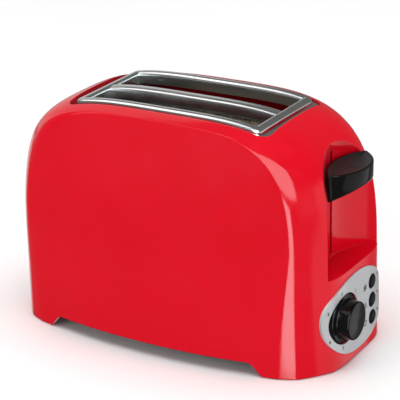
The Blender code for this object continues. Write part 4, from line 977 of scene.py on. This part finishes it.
def flake_strokes(cy, cz):
    """Six arms with two barbs each, for defrosting."""
    quads = []
    for turn in range(6):
        angle = math.radians(30 + 60 * turn)
        quads += stroke([(cy, cz), (cy + FLAKE_ARM * math.cos(angle), cz + FLAKE_ARM * math.sin(angle))],
                        FLAKE_LINE)
        root = (cy + BARB_ROOT * math.cos(angle), cz + BARB_ROOT * math.sin(angle))
        for way in (angle - BARB_ANGLE, angle + BARB_ANGLE):
            tip = (root[0] + BARB_REACH * math.cos(way), root[1] + BARB_REACH * math.sin(way))
            quads += stroke([root, tip], BARB_LINE)
    return quads


def wave_strokes(cy, cz):
    """Three rising waves, for reheating."""
    quads = []
    for shift in (-WAVE_PITCH, 0.0, WAVE_PITCH):
        quads += stroke([(cy + shift + WAVE_SWING * math.sin(t * 2 * math.pi), cz + WAVE_HALF * (2 * t - 1))
                         for t in np.linspace(0, 1, 9)], SYMBOL_LINE)
    return quads


def power_strokes(cy, cz):
    """A broken ring with a stem, for cancelling."""
    ring = arc(cy, cz, RING_RADIUS, RING_FROM, RING_TO, 16)
    return stroke(ring, SYMBOL_LINE) + stroke([(cy, cz + z) for z in STEM_Z], STEM_LINE)


def build_marks(fascia, mat, lamp_mat):
    """Dial numbers, generic symbols beside the buttons, and a small lamp on their other side."""
    panel = BVHTree.FromPolygons([vert.co for vert in fascia.data.vertices],
                                 [face.vertices for face in fascia.data.polygons])
    pieces = [flat_mark("dial_numbers", dial_strokes(), panel, mat)]
    symbols = (("defrost", flake_strokes), ("reheat", wave_strokes), ("cancel", power_strokes))
    for (name, strokes), z, drop in zip(symbols, BUTTON_Z, SYMBOL_DROPS):
        pieces.append(flat_mark("symbol_" + name, strokes(SYMBOL_Y, z - drop), panel, mat))
    lamps = [arc(LAMP_Y, z + LAMP_RISE, LAMP_RADIUS, 0, 360, 20)[:-1] for z in BUTTON_Z]
    pieces.append(flat_mark("button_lamps", lamps, panel, lamp_mat))
    return pieces


# ---- light and stage ------------------------------------------------------------------------
LIGHT_AIM_Z = 0.09
COOL_WHITE = (0.80, 0.96, 1.0)
WORLD_STRENGTH = 0.16
FLOOR_REACH = 8.0


def softbox(name, azimuth, elevation, distance, size, radiance, diffuse=True, glossy=True,
            tint=(1.0, 1.0, 1.0)):
    """A rectangular light that faces the toaster. Azimuth and elevation are in degrees, from the front."""
    turn, lift = math.radians(azimuth), math.radians(elevation)
    aim = Vector((0.0, 0.0, LIGHT_AIM_Z))
    away = Vector((math.sin(turn) * math.cos(lift), -math.cos(turn) * math.cos(lift), math.sin(lift)))
    data = bpy.data.lights.new(name, "AREA")
    data.shape = "RECTANGLE"
    data.size, data.size_y = size
    data.energy = radiance * math.pi * size[0] * size[1]
    data.color = tint
    lamp = bpy.data.objects.new(name, data)
    lamp.location = aim + away * distance
    lamp.rotation_euler = (-away).to_track_quat("-Z", "Y").to_euler()
    lamp.visible_diffuse = diffuse
    lamp.visible_glossy = glossy
    bpy.context.scene.collection.objects.link(lamp)


def make_stage():
    """A pale floor, soft fills that only light, and soft boxes that only show as highlights."""
    floor_mat = material("floor_white", (0.95, 0.95, 0.95), 0.9, specular=0.1)
    paint(floor_mat, noise(floor_mat, 3.0, 2.0), (0.945, 0.945, 0.945), (0.955, 0.955, 0.955))
    mesh = bpy.data.meshes.new("floor")
    corners = ((-1, -1), (1, -1), (1, 1), (-1, 1))
    mesh.from_pydata([(FLOOR_REACH * x, FLOOR_REACH * y, 0) for x, y in corners], [], [(0, 1, 2, 3)])
    mesh.materials.append(floor_mat)
    floor = bpy.data.objects.new("floor", mesh)
    bpy.context.scene.collection.objects.link(floor)
    floor.visible_glossy = False
    world = bpy.data.worlds.new("studio")
    bpy.context.scene.world = world
    world.use_nodes = True
    background = world.node_tree.nodes["Background"]
    background.inputs["Color"].default_value = (1.0, 1.0, 1.0, 1.0)
    background.inputs["Strength"].default_value = WORLD_STRENGTH
    softbox("fill_top", 0, 90, 5.0, (6.0, 6.0), 2.75, glossy=False)
    softbox("fill_front", -25, 12, 2.6, (2.0, 2.0), 2.3, glossy=False)
    softbox("fill_right", 85, 4, 2.4, (2.0, 1.2), 4.0, glossy=False)
    softbox("box_upper", -53, 50, 2.2, (1.5, 1.3), 1.7, diffuse=False)
    softbox("box_corner_high", 28.5, 29, 1.6, (2.0, 1.1), 5.4, diffuse=False, tint=COOL_WHITE)
    softbox("box_corner_low", 30.0, -12, 1.0, (0.40, 0.65), 8.5, diffuse=False, tint=COOL_WHITE)
    softbox("box_right", 115, -8, 2.0, (2.8, 2.0), 0.65, diffuse=False)
    softbox("box_left", -126, 18, 2.2, (2.0, 2.0), 0.45, diffuse=False)
    softbox("box_left_low", -140, -28, 2.2, (2.6, 1.4), 0.6, diffuse=False)
    bpy.context.scene.view_settings.view_transform = "Standard"


# ---- assembly -------------------------------------------------------------------------------
def place(piece, body, slot_name, *nodes):
    """Puts a piece on its body, in place of the CAD nodes named. Its slot name is not used."""
    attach(piece, body)
    if nodes:
        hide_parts(*nodes)


def main():
    make_camera()
    mats = {key: make() for key, make in MATERIALS.items()}
    for key, names in CARRIED.items():
        for name in names:
            mesh = NODES[name].data
            mesh.materials.clear()
            mesh.materials.append(mats[key])
    place(build_housing(mats["red"]), "body", "housing_red", "housing")
    fascia = build_fascia(mats["silver"])
    place(fascia, "body", "silver_fascia", "control_fascia")
    rim, flange, divider = build_rim(mats["rim"])
    place(rim, "body", "polished_steel", "slot_frame")
    place(flange, "body", "polished_steel")
    place(divider, "body", "polished_steel")
    knob, face = build_knob(mats["black"], mats["satin"])
    place(knob, "knob", "black_plastic", "browning_knob")
    place(face, "knob", "black_plastic")
    for name, piece in build_buttons(mats["cap"]):
        place(piece, name, "black_plastic", "button_" + name)
    side, top = build_lever(mats["black"], mats["satin"])
    place(side, "lever", "black_plastic", "lever_handle")
    place(top, "lever", "black_plastic")
    for piece in build_marks(fascia, mats["ink"], mats["lamp"]):
        place(piece, "body", "black_plastic")
    make_stage()


main()
